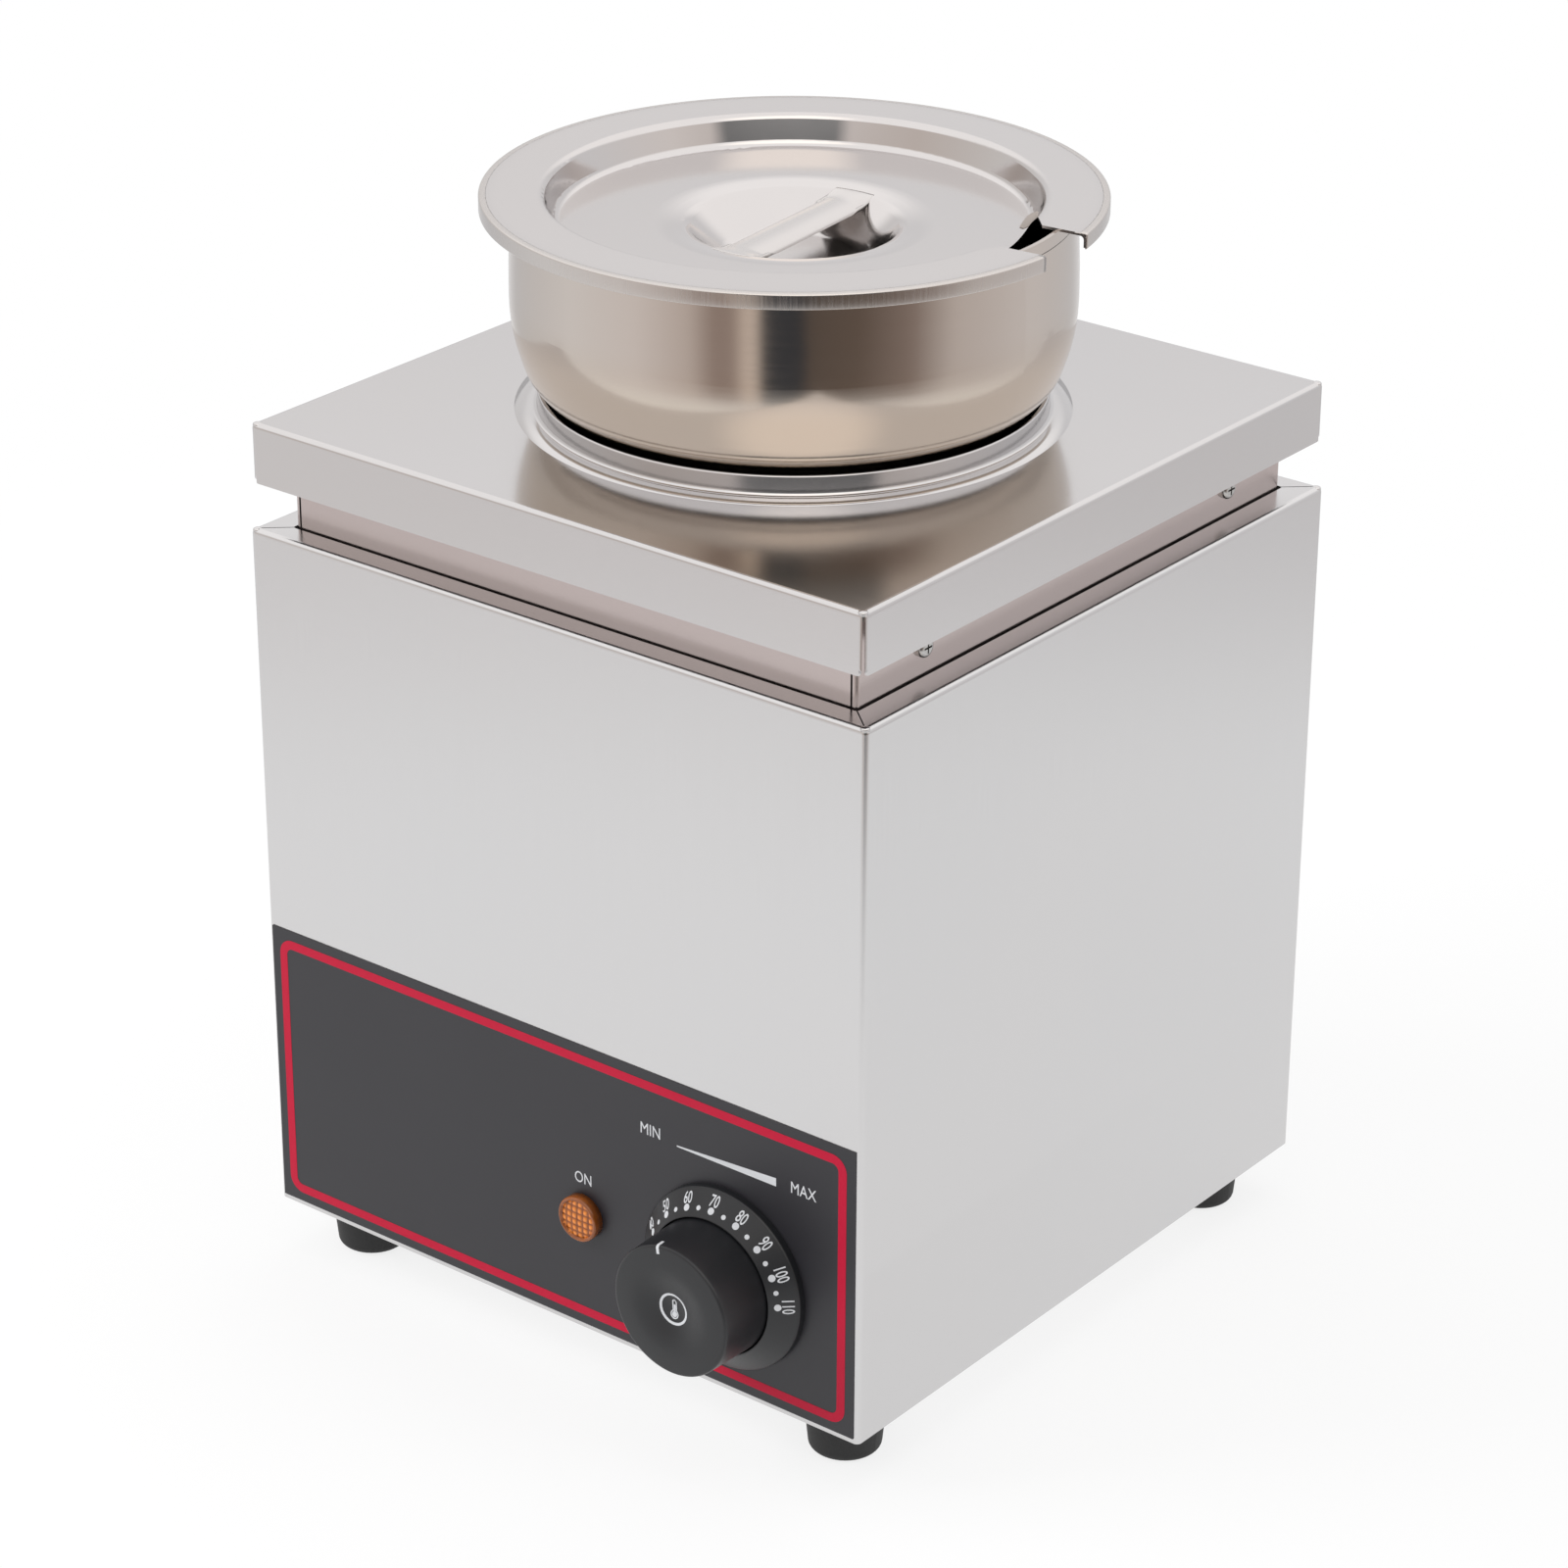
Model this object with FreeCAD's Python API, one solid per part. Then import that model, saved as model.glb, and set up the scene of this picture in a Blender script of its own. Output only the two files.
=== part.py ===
import FreeCAD, Part
import math
import os

# Soup kettle: a square cabinet with a heated water tank, a lift-out pot and a loose lid.
# Millimetres. +Z is up, the control panel faces -Y, the origin is on the floor under the cabinet's middle.

# Cabinet
casing_width = 275.0
casing_depth = 272.5
casing_height = 273.3
casing_sheet = 0.8
casing_bend = 2.0
casing_return = 12.0
mitre_gap = 0.5
mitre_stop = 3.0
rear_border = 18.0
rear_sheet = 0.8
rear_overlap = 12.0
base_sheet = 0.8
base_inset = 1.0
vent_width = 4.0
vent_length = 32.0
vent_pitch = 9.0
vent_count = 7

# Feet
foot_height = 20.2
foot_top_diameter = 30.0
foot_bottom_diameter = 26.0
foot_edge = 3.0
foot_inset = 24.0
foot_recess_diameter = 13.0
foot_recess_depth = 11.0
foot_washer_sheet = 1.5

# Neck between casing and top plate
neck_inset = 12.2
neck_inset_front = 10.9
neck_rise = 17.75
neck_sheet = 1.0
neck_gap = 1.0
neck_corner = 1.5
neck_foot_gap = 1.9
neck_foot_gap_front = 0.6
neck_return = 6.0
neck_seam = 0.8
seal_height = 3.0
seal_margin = 1.5
seal_gap = 0.3
stud_spread = 70.0
stud_from_wall = 3.95
stud_from_wall_front = 3.3
stud_tail = 1.0
neck_screw_spread = 90.0
neck_screw_rise = 10.6
bracket_width = 20.0
bracket_sheet = 1.5
bracket_lift = 2.0

# Top plate
plate_inset = 1.75
plate_inset_front = 0.55
plate_skirt = 22.35
plate_sheet = 1.0
plate_bend = 2.0
plate_seam = 1.0
skirt_corner = 3.0
collar_height = 7.7
collar_root = 1.9
collar_blank = 12.0

# Pot
pot_lower_diameter = 172.0
pot_bulge = 14.0
pot_rim_draw = 1.75
pot_height = 254.0
pot_rise = 77.9
pot_belly_rise = 44.7
pot_sheet = 1.0
pot_hem_height = 4.5
pot_hem_sheet = 0.7
pot_base_bend = 10.0
pot_shoulder_bend = 0.9
pot_bulge_depth = 36.0
pot_bulge_steps = [90.0, 72.0, 40.0, 0.0]
pot_fairing = 0.98
pot_collar_gap = 3.5

# Lid
lid_sheet = 1.0
lid_overhang = 11.55
lid_skirt = 5.0
lid_edge_bend = 2.4
lid_recess_gap = 10.75
lid_recess_depth = 11.0
lid_recess_draft = 3.5
lid_recess_bend = 2.5
lid_floor_bend = 3.0
lid_turn = 5.5
lead_radius = 46.5
lead_bend = 40.0
lip_radius = 38.0
lip_drop = 1.2
lip_bend = 6.0
bowl_radius = 24.0
bowl_depth = 11.8
bowl_bend = 8.0
notch_width = 27.0
notch_into_wall = 1.9
notch_flare = 7.5
notch_flare_length = 6.0
strap_width = 17.0
strap_sheet = 1.0
strap_drop = 0.3
strap_hem = 2.5
strap_hem_length = 58.0
strap_seat = 0.05

# Tank, trivet and insulation
tank_gap = 6.8
tank_corner = 20.0
tank_floor_bend = 8.0
tank_sheet = 1.0
tank_rim_lap = 5.7
trivet_height = 17.0
trivet_sheet = 1.5
trivet_margin = 13.0
trivet_hole = 12.0
trivet_pitch = 34.0
wool_gap = 0.5
wool_thickness = 15.0
wool_drop = 13.0
wool_lift = 3.0

# Heater
spreader_margin = 29.0
spreader_sheet = 4.0
spreader_corner = 6.0
element_diameter = 8.2
element_loop = 132.0
element_bend = 26.0
element_leg_bend = 12.0
element_leg_spacing = 28.0
element_leg_length = 38.0
element_leg_drop = 19.0
element_pin_diameter = 4.0
element_pin_length = 12.0
seat_gap = 0.1
clamp_width = 30.0
clamp_length = 180.0
clamp_sheet = 2.0
clamp_stud_tail = 3.0
cutout_diameter = 16.0
cutout_height = 10.0
cutout_y = 45.0
cutout_ear = 24.0
cutout_ear_width = 8.0
cutout_ear_sheet = 1.0
cutout_ear_margin = 3.0
cutout_pin_spread = 5.0
bulb_diameter = 6.0
bulb_length = 90.0
bulb_from_element = 18.0
bulb_clip_spread = 30.0
bulb_clip_width = 8.0
bulb_clip_wall = 2.5
bulb_clip_floor = 1.5
capillary_diameter = 2.0
capillary_bend = 12.0
capillary_step = 4.6
capillary_rise = 7.0
capillary_reach = 40.0

# Control panel, dial, knob and lamp
panel_sheet = 0.5
panel_margin = 2.0
panel_bottom = 2.8
panel_top = 116.4
control_rise = 47.8
dial_from_edge = 58.1
lamp_from_dial = 65.4
bezel_diameter = 70.0
bezel_thickness = 3.5
bezel_edge = 1.2
knob_gap = 0.8
knob_base_diameter = 46.0
knob_face_diameter = 50.0
knob_reach = 31.5
knob_edge = 2.0
knob_wall = 3.5
knob_face_wall = 6.0
knob_dish_diameter = 23.0
knob_dish_depth = 2.0
hub_diameter = 13.0
hub_clip_sheet = 1.0
hub_clip_height = 4.0
hub_clip_lift = 1.0
spindle_diameter = 6.0
spindle_flat = 1.5
spindle_clearance = 0.05
spindle_grip = 14.0
bush_diameter = 9.5
bush_reach = 2.0
spindle_depth = 12.0
thermostat_width = 44.0
thermostat_height = 34.0
thermostat_depth = 30.0
thermostat_screw_spread = 14.0
thermostat_screw_grip = 5.0
lamp_lens_diameter = 17.5
lamp_lens_reach = 4.4
lamp_lens_edge = 1.6
lamp_collar = 1.4
lamp_collar_width = 1.2
lamp_stem_diameter = 12.0
lamp_stem_length = 21.0
lamp_tab_length = 8.0
lamp_tab_width = 4.8
lamp_tab_sheet = 0.8
lamp_tab_spread = 3.5
lamp_clip_wall = 3.0
lamp_clip_height = 3.0

# Wiring and supply
block_poles = 4
block_pole_pitch = 15.0
block_depth = 22.0
block_height = 19.0
block_x = -52.5
block_y = -69.0
block_screw_grip = 7.0
terminal_well_diameter = 6.0
terminal_well_depth = 6.0
terminal_head_height = 2.0
terminal_slot = 0.8
wire_diameter = 2.5
wire_bend = 3.2
wire_pole_rise = 13.0
wire_earth_rise = 7.0
wire_step = 9.0
wire_lane = 12.0
wire_drop = 19.0
earth_x = 0.0
earth_y = -62.0
earth_stud_height = 16.0
gland_x = 70.0
gland_rise = 41.8
gland_thread = 16.0
gland_bore = 9.0
gland_hex = 22.0
gland_hex_height = 6.0
gland_dome_length = 21.0
gland_dome_edge = 5.5
gland_nut_height = 5.0
gland_shank = 10.0

# Fasteners
hole_clearance = 0.2
thread_clearance = 0.05
m3, m4, m5, m6 = 3.0, 4.0, 5.0, 6.0
head_ratio = 1.9
head_height_ratio = 0.6
nut_across_ratio = 1.75
nut_height_ratio = 0.8
screw_tip = 1.5
nut_tip = 1.0

# How far cutters run past what they cut
past = 1.0
far_past = 5.0

# Levels and half sizes worked out from the values above
casing_floor = foot_height + base_sheet
casing_top = foot_height + casing_height
casing_half_x = casing_width / 2
casing_half_y = casing_depth / 2
casing_inside_x = casing_half_x - casing_sheet
casing_inside_y = casing_half_y - casing_sheet
front_face = -casing_half_y
panel_face = front_face - panel_sheet
rear_face = casing_half_y + rear_sheet

neck_half_x = casing_half_x - neck_inset
neck_half_y = casing_half_y - neck_inset_front
plate_half_x = casing_half_x - plate_inset
plate_half_y = casing_half_y - plate_inset_front
skirt_bottom = casing_top + neck_rise
plate_top = skirt_bottom + plate_skirt
tank_rim_top = plate_top - plate_sheet
neck_top = tank_rim_top - tank_sheet
seal_top = casing_top - casing_sheet
neck_foot_top = seal_top - seal_height
neck_bottom = neck_foot_top - neck_sheet
neck_foot_x = casing_inside_x - neck_foot_gap
neck_foot_y = casing_inside_y - neck_foot_gap_front
tank_half_x = neck_half_x - neck_sheet - tank_gap
tank_half_y = neck_half_y - neck_sheet - tank_gap
neck_screw_z = casing_top + neck_screw_rise

pot_rim_z = plate_top + pot_rise
pot_base_z = pot_rim_z - pot_height
pot_lower_radius = pot_lower_diameter / 2
pot_belly_radius = pot_lower_radius + pot_bulge
pot_rim_radius = pot_belly_radius - pot_rim_draw
pot_belly_z = plate_top + pot_belly_rise
pot_shoulder_z = pot_belly_z - pot_bulge_depth
collar_radius = pot_lower_radius + pot_collar_gap + plate_sheet

lid_top = pot_rim_z + lid_sheet
lid_radius = pot_rim_radius + lid_overhang
recess_top_radius = pot_rim_radius - lid_recess_gap
recess_floor_radius = recess_top_radius - lid_recess_draft
recess_floor_z = lid_top - lid_recess_depth
lip_z = recess_floor_z - lip_drop
bowl_floor_z = lip_z - bowl_depth

trivet_floor = pot_base_z - trivet_height
tank_floor = trivet_floor - tank_sheet
spreader_bottom = tank_floor - spreader_sheet
element_z = spreader_bottom - seat_gap - element_diameter / 2
clamp_top = element_z - element_diameter / 2 - seat_gap
clamp_bottom = clamp_top - clamp_sheet
spreader_half = element_loop / 2 + spreader_margin
bulb_x = element_loop / 2 + bulb_from_element

control_z = foot_height + control_rise
dial_x = casing_half_x - dial_from_edge
lamp_x = dial_x - lamp_from_dial
knob_base = bezel_thickness + knob_gap
wall_behind_panel = panel_sheet + casing_sheet
thermostat_back = front_face + casing_sheet + thermostat_depth
gland_z = foot_height + gland_rise

UP = FreeCAD.Vector(0, 0, 1)
DOWN = FreeCAD.Vector(0, 0, -1)
FRONT = FreeCAD.Vector(0, -1, 0)
REAR = FreeCAD.Vector(0, 1, 0)
RIGHT = FreeCAD.Vector(1, 0, 0)


def vec(x, y, z):
    return FreeCAD.Vector(x, y, z)


# Shapes that the sub-parts share

def bar(x0, x1, y0, y1, z0, z1):
    return Part.makeBox(x1 - x0, y1 - y0, z1 - z0, vec(x0, y0, z0))


def rod(radius, z0, z1, x=0.0, y=0.0):
    return Part.makeCylinder(radius, z1 - z0, vec(x, y, z0))


def tower(half_x, half_y, z0, z1, corner):
    # Upright block about the middle, its vertical edges rounded.
    solid = bar(-half_x, half_x, -half_y, half_y, z0, z1)
    upright = [e for e in solid.Edges if abs(e.Vertexes[0].Z - e.Vertexes[1].Z) > 1e-6]
    return solid.makeFillet(corner, upright)


def folded_tower(half_x, half_y, z0, z1, corner):
    # The same block with its top edges rounded too, as a sheet folds over.
    solid = bar(-half_x, half_x, -half_y, half_y, z0, z1)
    edges = [e for e in solid.Edges if max(v.Z for v in e.Vertexes) > z1 - 1e-6]
    return solid.makeFillet(corner, edges)


def rounded_route(points, bends):
    # Straight runs through the points, with a tangent arc of the given radius at each inner point.
    edges = []
    start = points[0]
    for before, here, after, bend in zip(points, points[1:], points[2:], bends):
        back = (before - here).normalize()
        ahead = (after - here).normalize()
        half = back.getAngle(ahead) / 2
        reach = bend / math.tan(half)
        middle = (back + ahead).normalize() * (bend / math.sin(half) - bend)
        arc_start = here + back * reach
        arc_end = here + ahead * reach
        if (arc_start - start).Length > 1e-6:
            edges.append(Part.LineSegment(start, arc_start).toShape())
        edges.append(Part.Arc(arc_start, here + middle, arc_end).toShape())
        start = arc_end
    if (points[-1] - start).Length > 1e-6:
        edges.append(Part.LineSegment(start, points[-1]).toShape())
    return edges


def offset_corners(corners, distance):
    # The corners of a line that runs beside (radius, height, bend) corners, to their left.
    points = [vec(r, 0, z) for r, z, bend in corners]
    runs = [(b - a).normalize() for a, b in zip(points, points[1:])]
    lefts = [vec(-run.z, 0, run.x) for run in runs]
    moved = [points[0] + lefts[0] * distance]
    bends = [0.0]
    for i in range(1, len(points) - 1):
        share = 1 + lefts[i - 1] * lefts[i]
        moved.append(points[i] + (lefts[i - 1] + lefts[i]) * (distance / share))
        turn = runs[i - 1].x * runs[i].z - runs[i - 1].z * runs[i].x
        bends.append(corners[i][2] - math.copysign(distance, turn))
    moved.append(points[-1] + lefts[-1] * distance)
    bends.append(0.0)
    return [(p.x, p.z, bend) for p, bend in zip(moved, bends)]


def turned_sheet(corners, sheet):
    # Sheet metal spun about the vertical axis: one face follows the corners, the other lies to their left.
    near = [vec(r, 0, z) for r, z, bend in corners]
    beside = offset_corners(corners, sheet)
    far = [vec(r, 0, z) for r, z, bend in beside]
    edges = rounded_route(near, [c[2] for c in corners[1:-1]])
    edges.append(Part.LineSegment(near[-1], far[-1]).toShape())
    edges += rounded_route(far, [c[2] for c in beside[1:-1]])
    edges.append(Part.LineSegment(far[0], near[0]).toShape())
    face = Part.Face(Part.Wire(Part.__sortEdges__(edges)))
    return face.revolve(vec(0, 0, 0), UP, 360)


def turned(corners):
    # Solid of revolution about the vertical axis, from (radius, height) corners.
    points = [vec(r, 0, z) for r, z in corners]
    face = Part.Face(Part.makePolygon(points + points[:1]))
    return face.revolve(vec(0, 0, 0), UP, 360)


def tube(points, diameter, bend):
    # Round rod or wire along straight runs joined by arcs.
    spine = Part.Wire(rounded_route(points, [bend] * (len(points) - 2)))
    section = Part.Wire(Part.makeCircle(diameter / 2, points[0], points[1] - points[0]))
    return spine.makePipeShell([section], True, False)


def facing(shape, direction, point):
    # Turns a shape built along +Z to look along the direction, and puts its origin at the point.
    placed = shape.copy()
    placed.Placement = FreeCAD.Placement(point, FreeCAD.Rotation(UP, direction))
    return placed


def pan_screw(size, length):
    # Pan head above z 0 with a cross recess, shank below.
    head_radius = size * head_ratio / 2
    head_height = size * head_height_ratio
    head = rod(head_radius, 0, head_height)
    rim = [e for e in head.Edges if e.Closed and e.Vertexes[0].Z > head_height / 2]
    head = head.makeFillet(head_height * 0.7, rim)
    arm = head_radius * 0.55
    slot = size * 0.09
    recess = bar(-arm, arm, -slot, slot, head_height * 0.45, head_height * 2)
    recess = recess.fuse(bar(-slot, slot, -arm, arm, head_height * 0.45, head_height * 2))
    return head.cut(recess).fuse(rod(size / 2, -length, 0)).removeSplitter()


def hexagon(across, z0, z1):
    radius = across / math.sqrt(3)
    corners = [vec(radius * math.cos(a), radius * math.sin(a), z0)
               for a in (math.pi / 3 * i for i in range(7))]
    return Part.Face(Part.makePolygon(corners)).extrude(vec(0, 0, z1 - z0))


def hex_nut(size):
    # Nut standing on z 0.
    height = size * nut_height_ratio
    nut = hexagon(size * nut_across_ratio, 0, height)
    return nut.cut(rod(size / 2 + thread_clearance, -1, height + 1))


def nut_height(size):
    return size * nut_height_ratio


def four_corners(x, y):
    return [(sx * x, sy * y) for sx in (-1, 1) for sy in (-1, 1)]


# Places that several sub-parts share

def foot_places():
    return four_corners(casing_half_x - foot_inset, casing_half_y - foot_inset)


def base_screw_places():
    edge_x = casing_inside_x - casing_return / 2
    edge_y = casing_inside_y - casing_return / 2
    along_x = [(s * casing_half_x / 3, t * edge_y) for s in (-1, 1) for t in (-1, 1)]
    along_y = [(t * edge_x, s * casing_half_y / 3) for s in (-1, 1) for t in (-1, 1)]
    return along_x + along_y


def stud_places():
    line_x = casing_inside_x - stud_from_wall
    line_y = casing_inside_y - stud_from_wall_front
    along_x = [(s * stud_spread, t * line_y) for s in (-1, 1) for t in (-1, 1)]
    along_y = [(t * line_x, s * stud_spread) for s in (-1, 1) for t in (-1, 1)]
    return along_x + along_y


def bracket_places():
    return [(side, y) for side in (-1, 1) for y in (-neck_screw_spread, neck_screw_spread)]


def rear_window():
    half = casing_inside_x - rear_border
    return half, casing_floor + rear_border, casing_top - rear_border


def rear_screw_places():
    half, low, high = rear_window()
    x = half + rear_overlap / 2
    middle = (low + high) / 2
    return [(s * x, z) for s in (-1, 1) for z in (low, middle, high)]


def block_pole_places():
    first = block_x - block_pole_pitch * (block_poles - 1) / 2
    return [first + block_pole_pitch * i for i in range(block_poles)]


def through_front(radius, x, z):
    # Cutter for a round hole through panel and front wall.
    return facing(rod(radius, -wall_behind_panel - 1, 1), FRONT, vec(x, panel_face, z))


def front_holes():
    holes = [through_front(bush_diameter / 2 + hole_clearance, dial_x, control_z)]
    holes.append(through_front(lamp_stem_diameter / 2 + hole_clearance, lamp_x, control_z))
    for side in (-1, 1):
        x = dial_x + side * thermostat_screw_spread
        holes.append(through_front(m4 / 2 + hole_clearance, x, control_z))
    return holes


# Cabinet

def outer_casing():
    solid = folded_tower(casing_half_x, casing_half_y, casing_floor, casing_top, casing_bend)
    solid = solid.cut(folded_tower(casing_inside_x, casing_inside_y, casing_floor + casing_sheet,
                                   casing_top - casing_sheet, casing_bend - casing_sheet))
    mouth_x = neck_half_x + neck_gap
    mouth_y = neck_half_y + neck_gap
    cuts = [tower(mouth_x, mouth_y, casing_top - 5, casing_top + 5, neck_corner)]
    floor_x = casing_inside_x - casing_return
    floor_y = casing_inside_y - casing_return
    cuts.append(bar(-floor_x, floor_x, -floor_y, floor_y, casing_floor - 5, casing_floor + 5))
    half, low, high = rear_window()
    cuts.append(bar(-half, half, casing_inside_y - 5, casing_half_y + 5, low, high))
    for sx, sy in four_corners(1, 1):
        reach = math.hypot(casing_half_x - mouth_x, casing_half_y - mouth_y)
        slot = bar(-3, reach - mitre_stop, -mitre_gap / 2, mitre_gap / 2, -5, 5)
        lean = math.degrees(math.atan2(sy * (casing_half_y - mouth_y), sx * (casing_half_x - mouth_x)))
        slot.Placement = FreeCAD.Placement(vec(sx * mouth_x, sy * mouth_y, casing_top),
                                           FreeCAD.Rotation(UP, lean))
        cuts.append(slot)
    cuts += front_holes()
    for x, y in base_screw_places():
        cuts.append(rod(m4 / 2 + thread_clearance, casing_floor - 1, casing_floor + 2, x, y))
    for x, z in rear_screw_places():
        cuts.append(facing(rod(m4 / 2 + thread_clearance, -3, 1), REAR, vec(x, casing_half_y, z)))
    return solid.cut(cuts)


def rear_panel():
    half, low, high = rear_window()
    plate = bar(-half - rear_overlap, half + rear_overlap, casing_half_y, rear_face,
                low - rear_overlap, high + rear_overlap)
    cuts = [facing(rod(gland_thread / 2 + hole_clearance, -3, 3), REAR, vec(gland_x, rear_face, gland_z))]
    for x, z in rear_screw_places():
        cuts.append(facing(rod(m4 / 2 + hole_clearance, -3, 3), REAR, vec(x, rear_face, z)))
    for i in range(vent_count):
        x = -gland_x + (i - (vent_count - 1) / 2) * vent_pitch
        cuts.append(bar(x - vent_width / 2, x + vent_width / 2, casing_half_y - 1, rear_face + 1,
                        gland_z - vent_length / 2, gland_z + vent_length / 2))
    return plate.cut(cuts)


def base_plate():
    half_x = casing_half_x - base_inset
    half_y = casing_half_y - base_inset
    plate = tower(half_x, half_y, foot_height, casing_floor, casing_bend)
    cuts = [rod(m5 / 2 + hole_clearance, foot_height - 1, casing_floor + 1, x, y) for x, y in foot_places()]
    cuts += [rod(m4 / 2 + hole_clearance, foot_height - 1, casing_floor + 1, x, y)
             for x, y in base_screw_places()]
    for x in (block_pole_places()[0], block_pole_places()[-1]):
        cuts.append(rod(m3 / 2 + hole_clearance, foot_height - 1, casing_floor + 1, x, block_y))
    for row in (0, 1):
        y = (row + 0.5) * (vent_length + vent_pitch)
        for i in range(vent_count):
            x = (i - (vent_count - 1) / 2) * vent_pitch
            cuts.append(bar(x - vent_width / 2, x + vent_width / 2, y - vent_length / 2,
                            y + vent_length / 2, foot_height - 1, casing_floor + 1))
    return plate.cut(cuts)


# Feet and their screws

def foot():
    top = foot_top_diameter / 2
    bottom = foot_bottom_diameter / 2
    solid = turned([(0, 0), (bottom, 0), (top, foot_height), (0, foot_height)])
    rim = [e for e in solid.Edges if e.Closed and e.Vertexes[0].Z < 1e-6]
    solid = solid.makeFillet(foot_edge, rim)
    solid = solid.cut(rod(foot_recess_diameter / 2, -1, foot_recess_depth))
    return solid.cut(rod(m5 / 2 + hole_clearance, -1, foot_height + 1))


def foot_washer():
    low = foot_recess_depth - foot_washer_sheet
    ring = rod(foot_recess_diameter / 2 - hole_clearance, low, foot_recess_depth)
    return ring.cut(rod(m5 / 2 + hole_clearance, low - 1, foot_recess_depth + 1))


def foot_screw():
    head_seat = foot_recess_depth - foot_washer_sheet
    length = casing_floor + nut_height(m5) + nut_tip - head_seat
    return facing(pan_screw(m5, length), DOWN, vec(0, 0, head_seat))


def at_feet(shape, z=0.0):
    return Part.makeCompound([shape.translated(vec(x, y, z)) for x, y in foot_places()])


# Neck

def neck_frame():
    solid = tower(neck_half_x, neck_half_y, neck_bottom, neck_top, neck_corner)
    solid = solid.fuse(tower(neck_foot_x, neck_foot_y, neck_bottom, neck_foot_top, neck_corner))
    inside_x = neck_half_x - neck_sheet
    inside_y = neck_half_y - neck_sheet
    cuts = [bar(-inside_x, inside_x, -inside_y, inside_y, neck_bottom - 1, neck_top - neck_sheet)]
    cuts.append(bar(neck_return - inside_x, inside_x - neck_return, neck_return - inside_y,
                    inside_y - neck_return, neck_bottom - 1, neck_top + 1))
    for sx, sy in four_corners(1, 1):
        x = sx * (neck_half_x - neck_corner - neck_seam)
        y = sy * neck_half_y
        cuts.append(bar(x - neck_seam / 2, x + neck_seam / 2, y - 2 * neck_sheet, y + 2 * neck_sheet,
                        casing_top, neck_top - 2 * neck_sheet))
    for side, y in bracket_places():
        half = bracket_width / 2 + hole_clearance
        cuts.append(bar(-inside_x, inside_x, y - half, y + half, neck_top - neck_sheet - 1, neck_top + 1))
        hole = rod(m4 / 2 + hole_clearance, -far_past, far_past)
        cuts.append(facing(hole, RIGHT, vec(side * neck_half_x, y, neck_screw_z)))
    for x, y in stud_places():
        cuts.append(rod(m3 / 2 + hole_clearance, neck_bottom - 1, neck_foot_top + 1, x, y))
    return solid.cut(cuts)


def neck_seal():
    outer = tower(neck_foot_x - seal_margin, neck_foot_y - seal_margin, neck_foot_top, seal_top, neck_corner)
    cuts = [tower(neck_half_x + seal_gap, neck_half_y + seal_gap, neck_foot_top - past, seal_top + past,
                  neck_corner)]
    cuts += [rod(m3 / 2 + hole_clearance, neck_foot_top - past, seal_top + past, x, y)
             for x, y in stud_places()]
    return outer.cut(cuts)


def neck_studs():
    low = neck_bottom - nut_height(m3) - stud_tail
    return Part.makeCompound([rod(m3 / 2, low, seal_top, x, y) for x, y in stud_places()])


def neck_nuts():
    nut = hex_nut(m3)
    return Part.makeCompound([facing(nut, DOWN, vec(x, y, neck_bottom)) for x, y in stud_places()])


def neck_bracket(side, y):
    # Angle behind the neck wall, hung from the tank's rim.
    wall = neck_half_x - neck_sheet
    leg = bar(wall - bracket_sheet, wall, y - bracket_width / 2, y + bracket_width / 2,
              casing_top + bracket_lift, neck_top)
    top = bar(wall - neck_return + hole_clearance, wall, y - bracket_width / 2, y + bracket_width / 2,
              neck_top - bracket_sheet, neck_top)
    angle = leg.fuse(top).removeSplitter()
    angle = angle.cut(facing(rod(m4 / 2 + hole_clearance, -9, 9), RIGHT, vec(wall, y, neck_screw_z)))
    if side < 0:
        angle = angle.mirror(vec(0, 0, 0), RIGHT)
    return angle


def neck_brackets():
    return Part.makeCompound([neck_bracket(side, y) for side, y in bracket_places()])


def neck_screws():
    length = neck_sheet + bracket_sheet + nut_height(m4) + nut_tip
    screw = pan_screw(m4, length)
    return Part.makeCompound([facing(screw, RIGHT * side, vec(side * neck_half_x, y, neck_screw_z))
                              for side, y in bracket_places()])


def bracket_nuts():
    seat = neck_half_x - neck_sheet - bracket_sheet
    return Part.makeCompound([facing(hex_nut(m4), RIGHT * -side, vec(side * seat, y, neck_screw_z))
                              for side, y in bracket_places()])


# Top plate

def skirt_corner_cutter():
    # What rounds the lower end of a skirt: a square less a quarter disc, along local Y.
    reach = plate_sheet + past
    square = bar(-1, skirt_corner, -reach, reach, -1, skirt_corner)
    disc = facing(rod(skirt_corner, -2 * reach, 2 * reach), REAR, vec(skirt_corner, 0, skirt_corner))
    return square.cut(disc)


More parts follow.
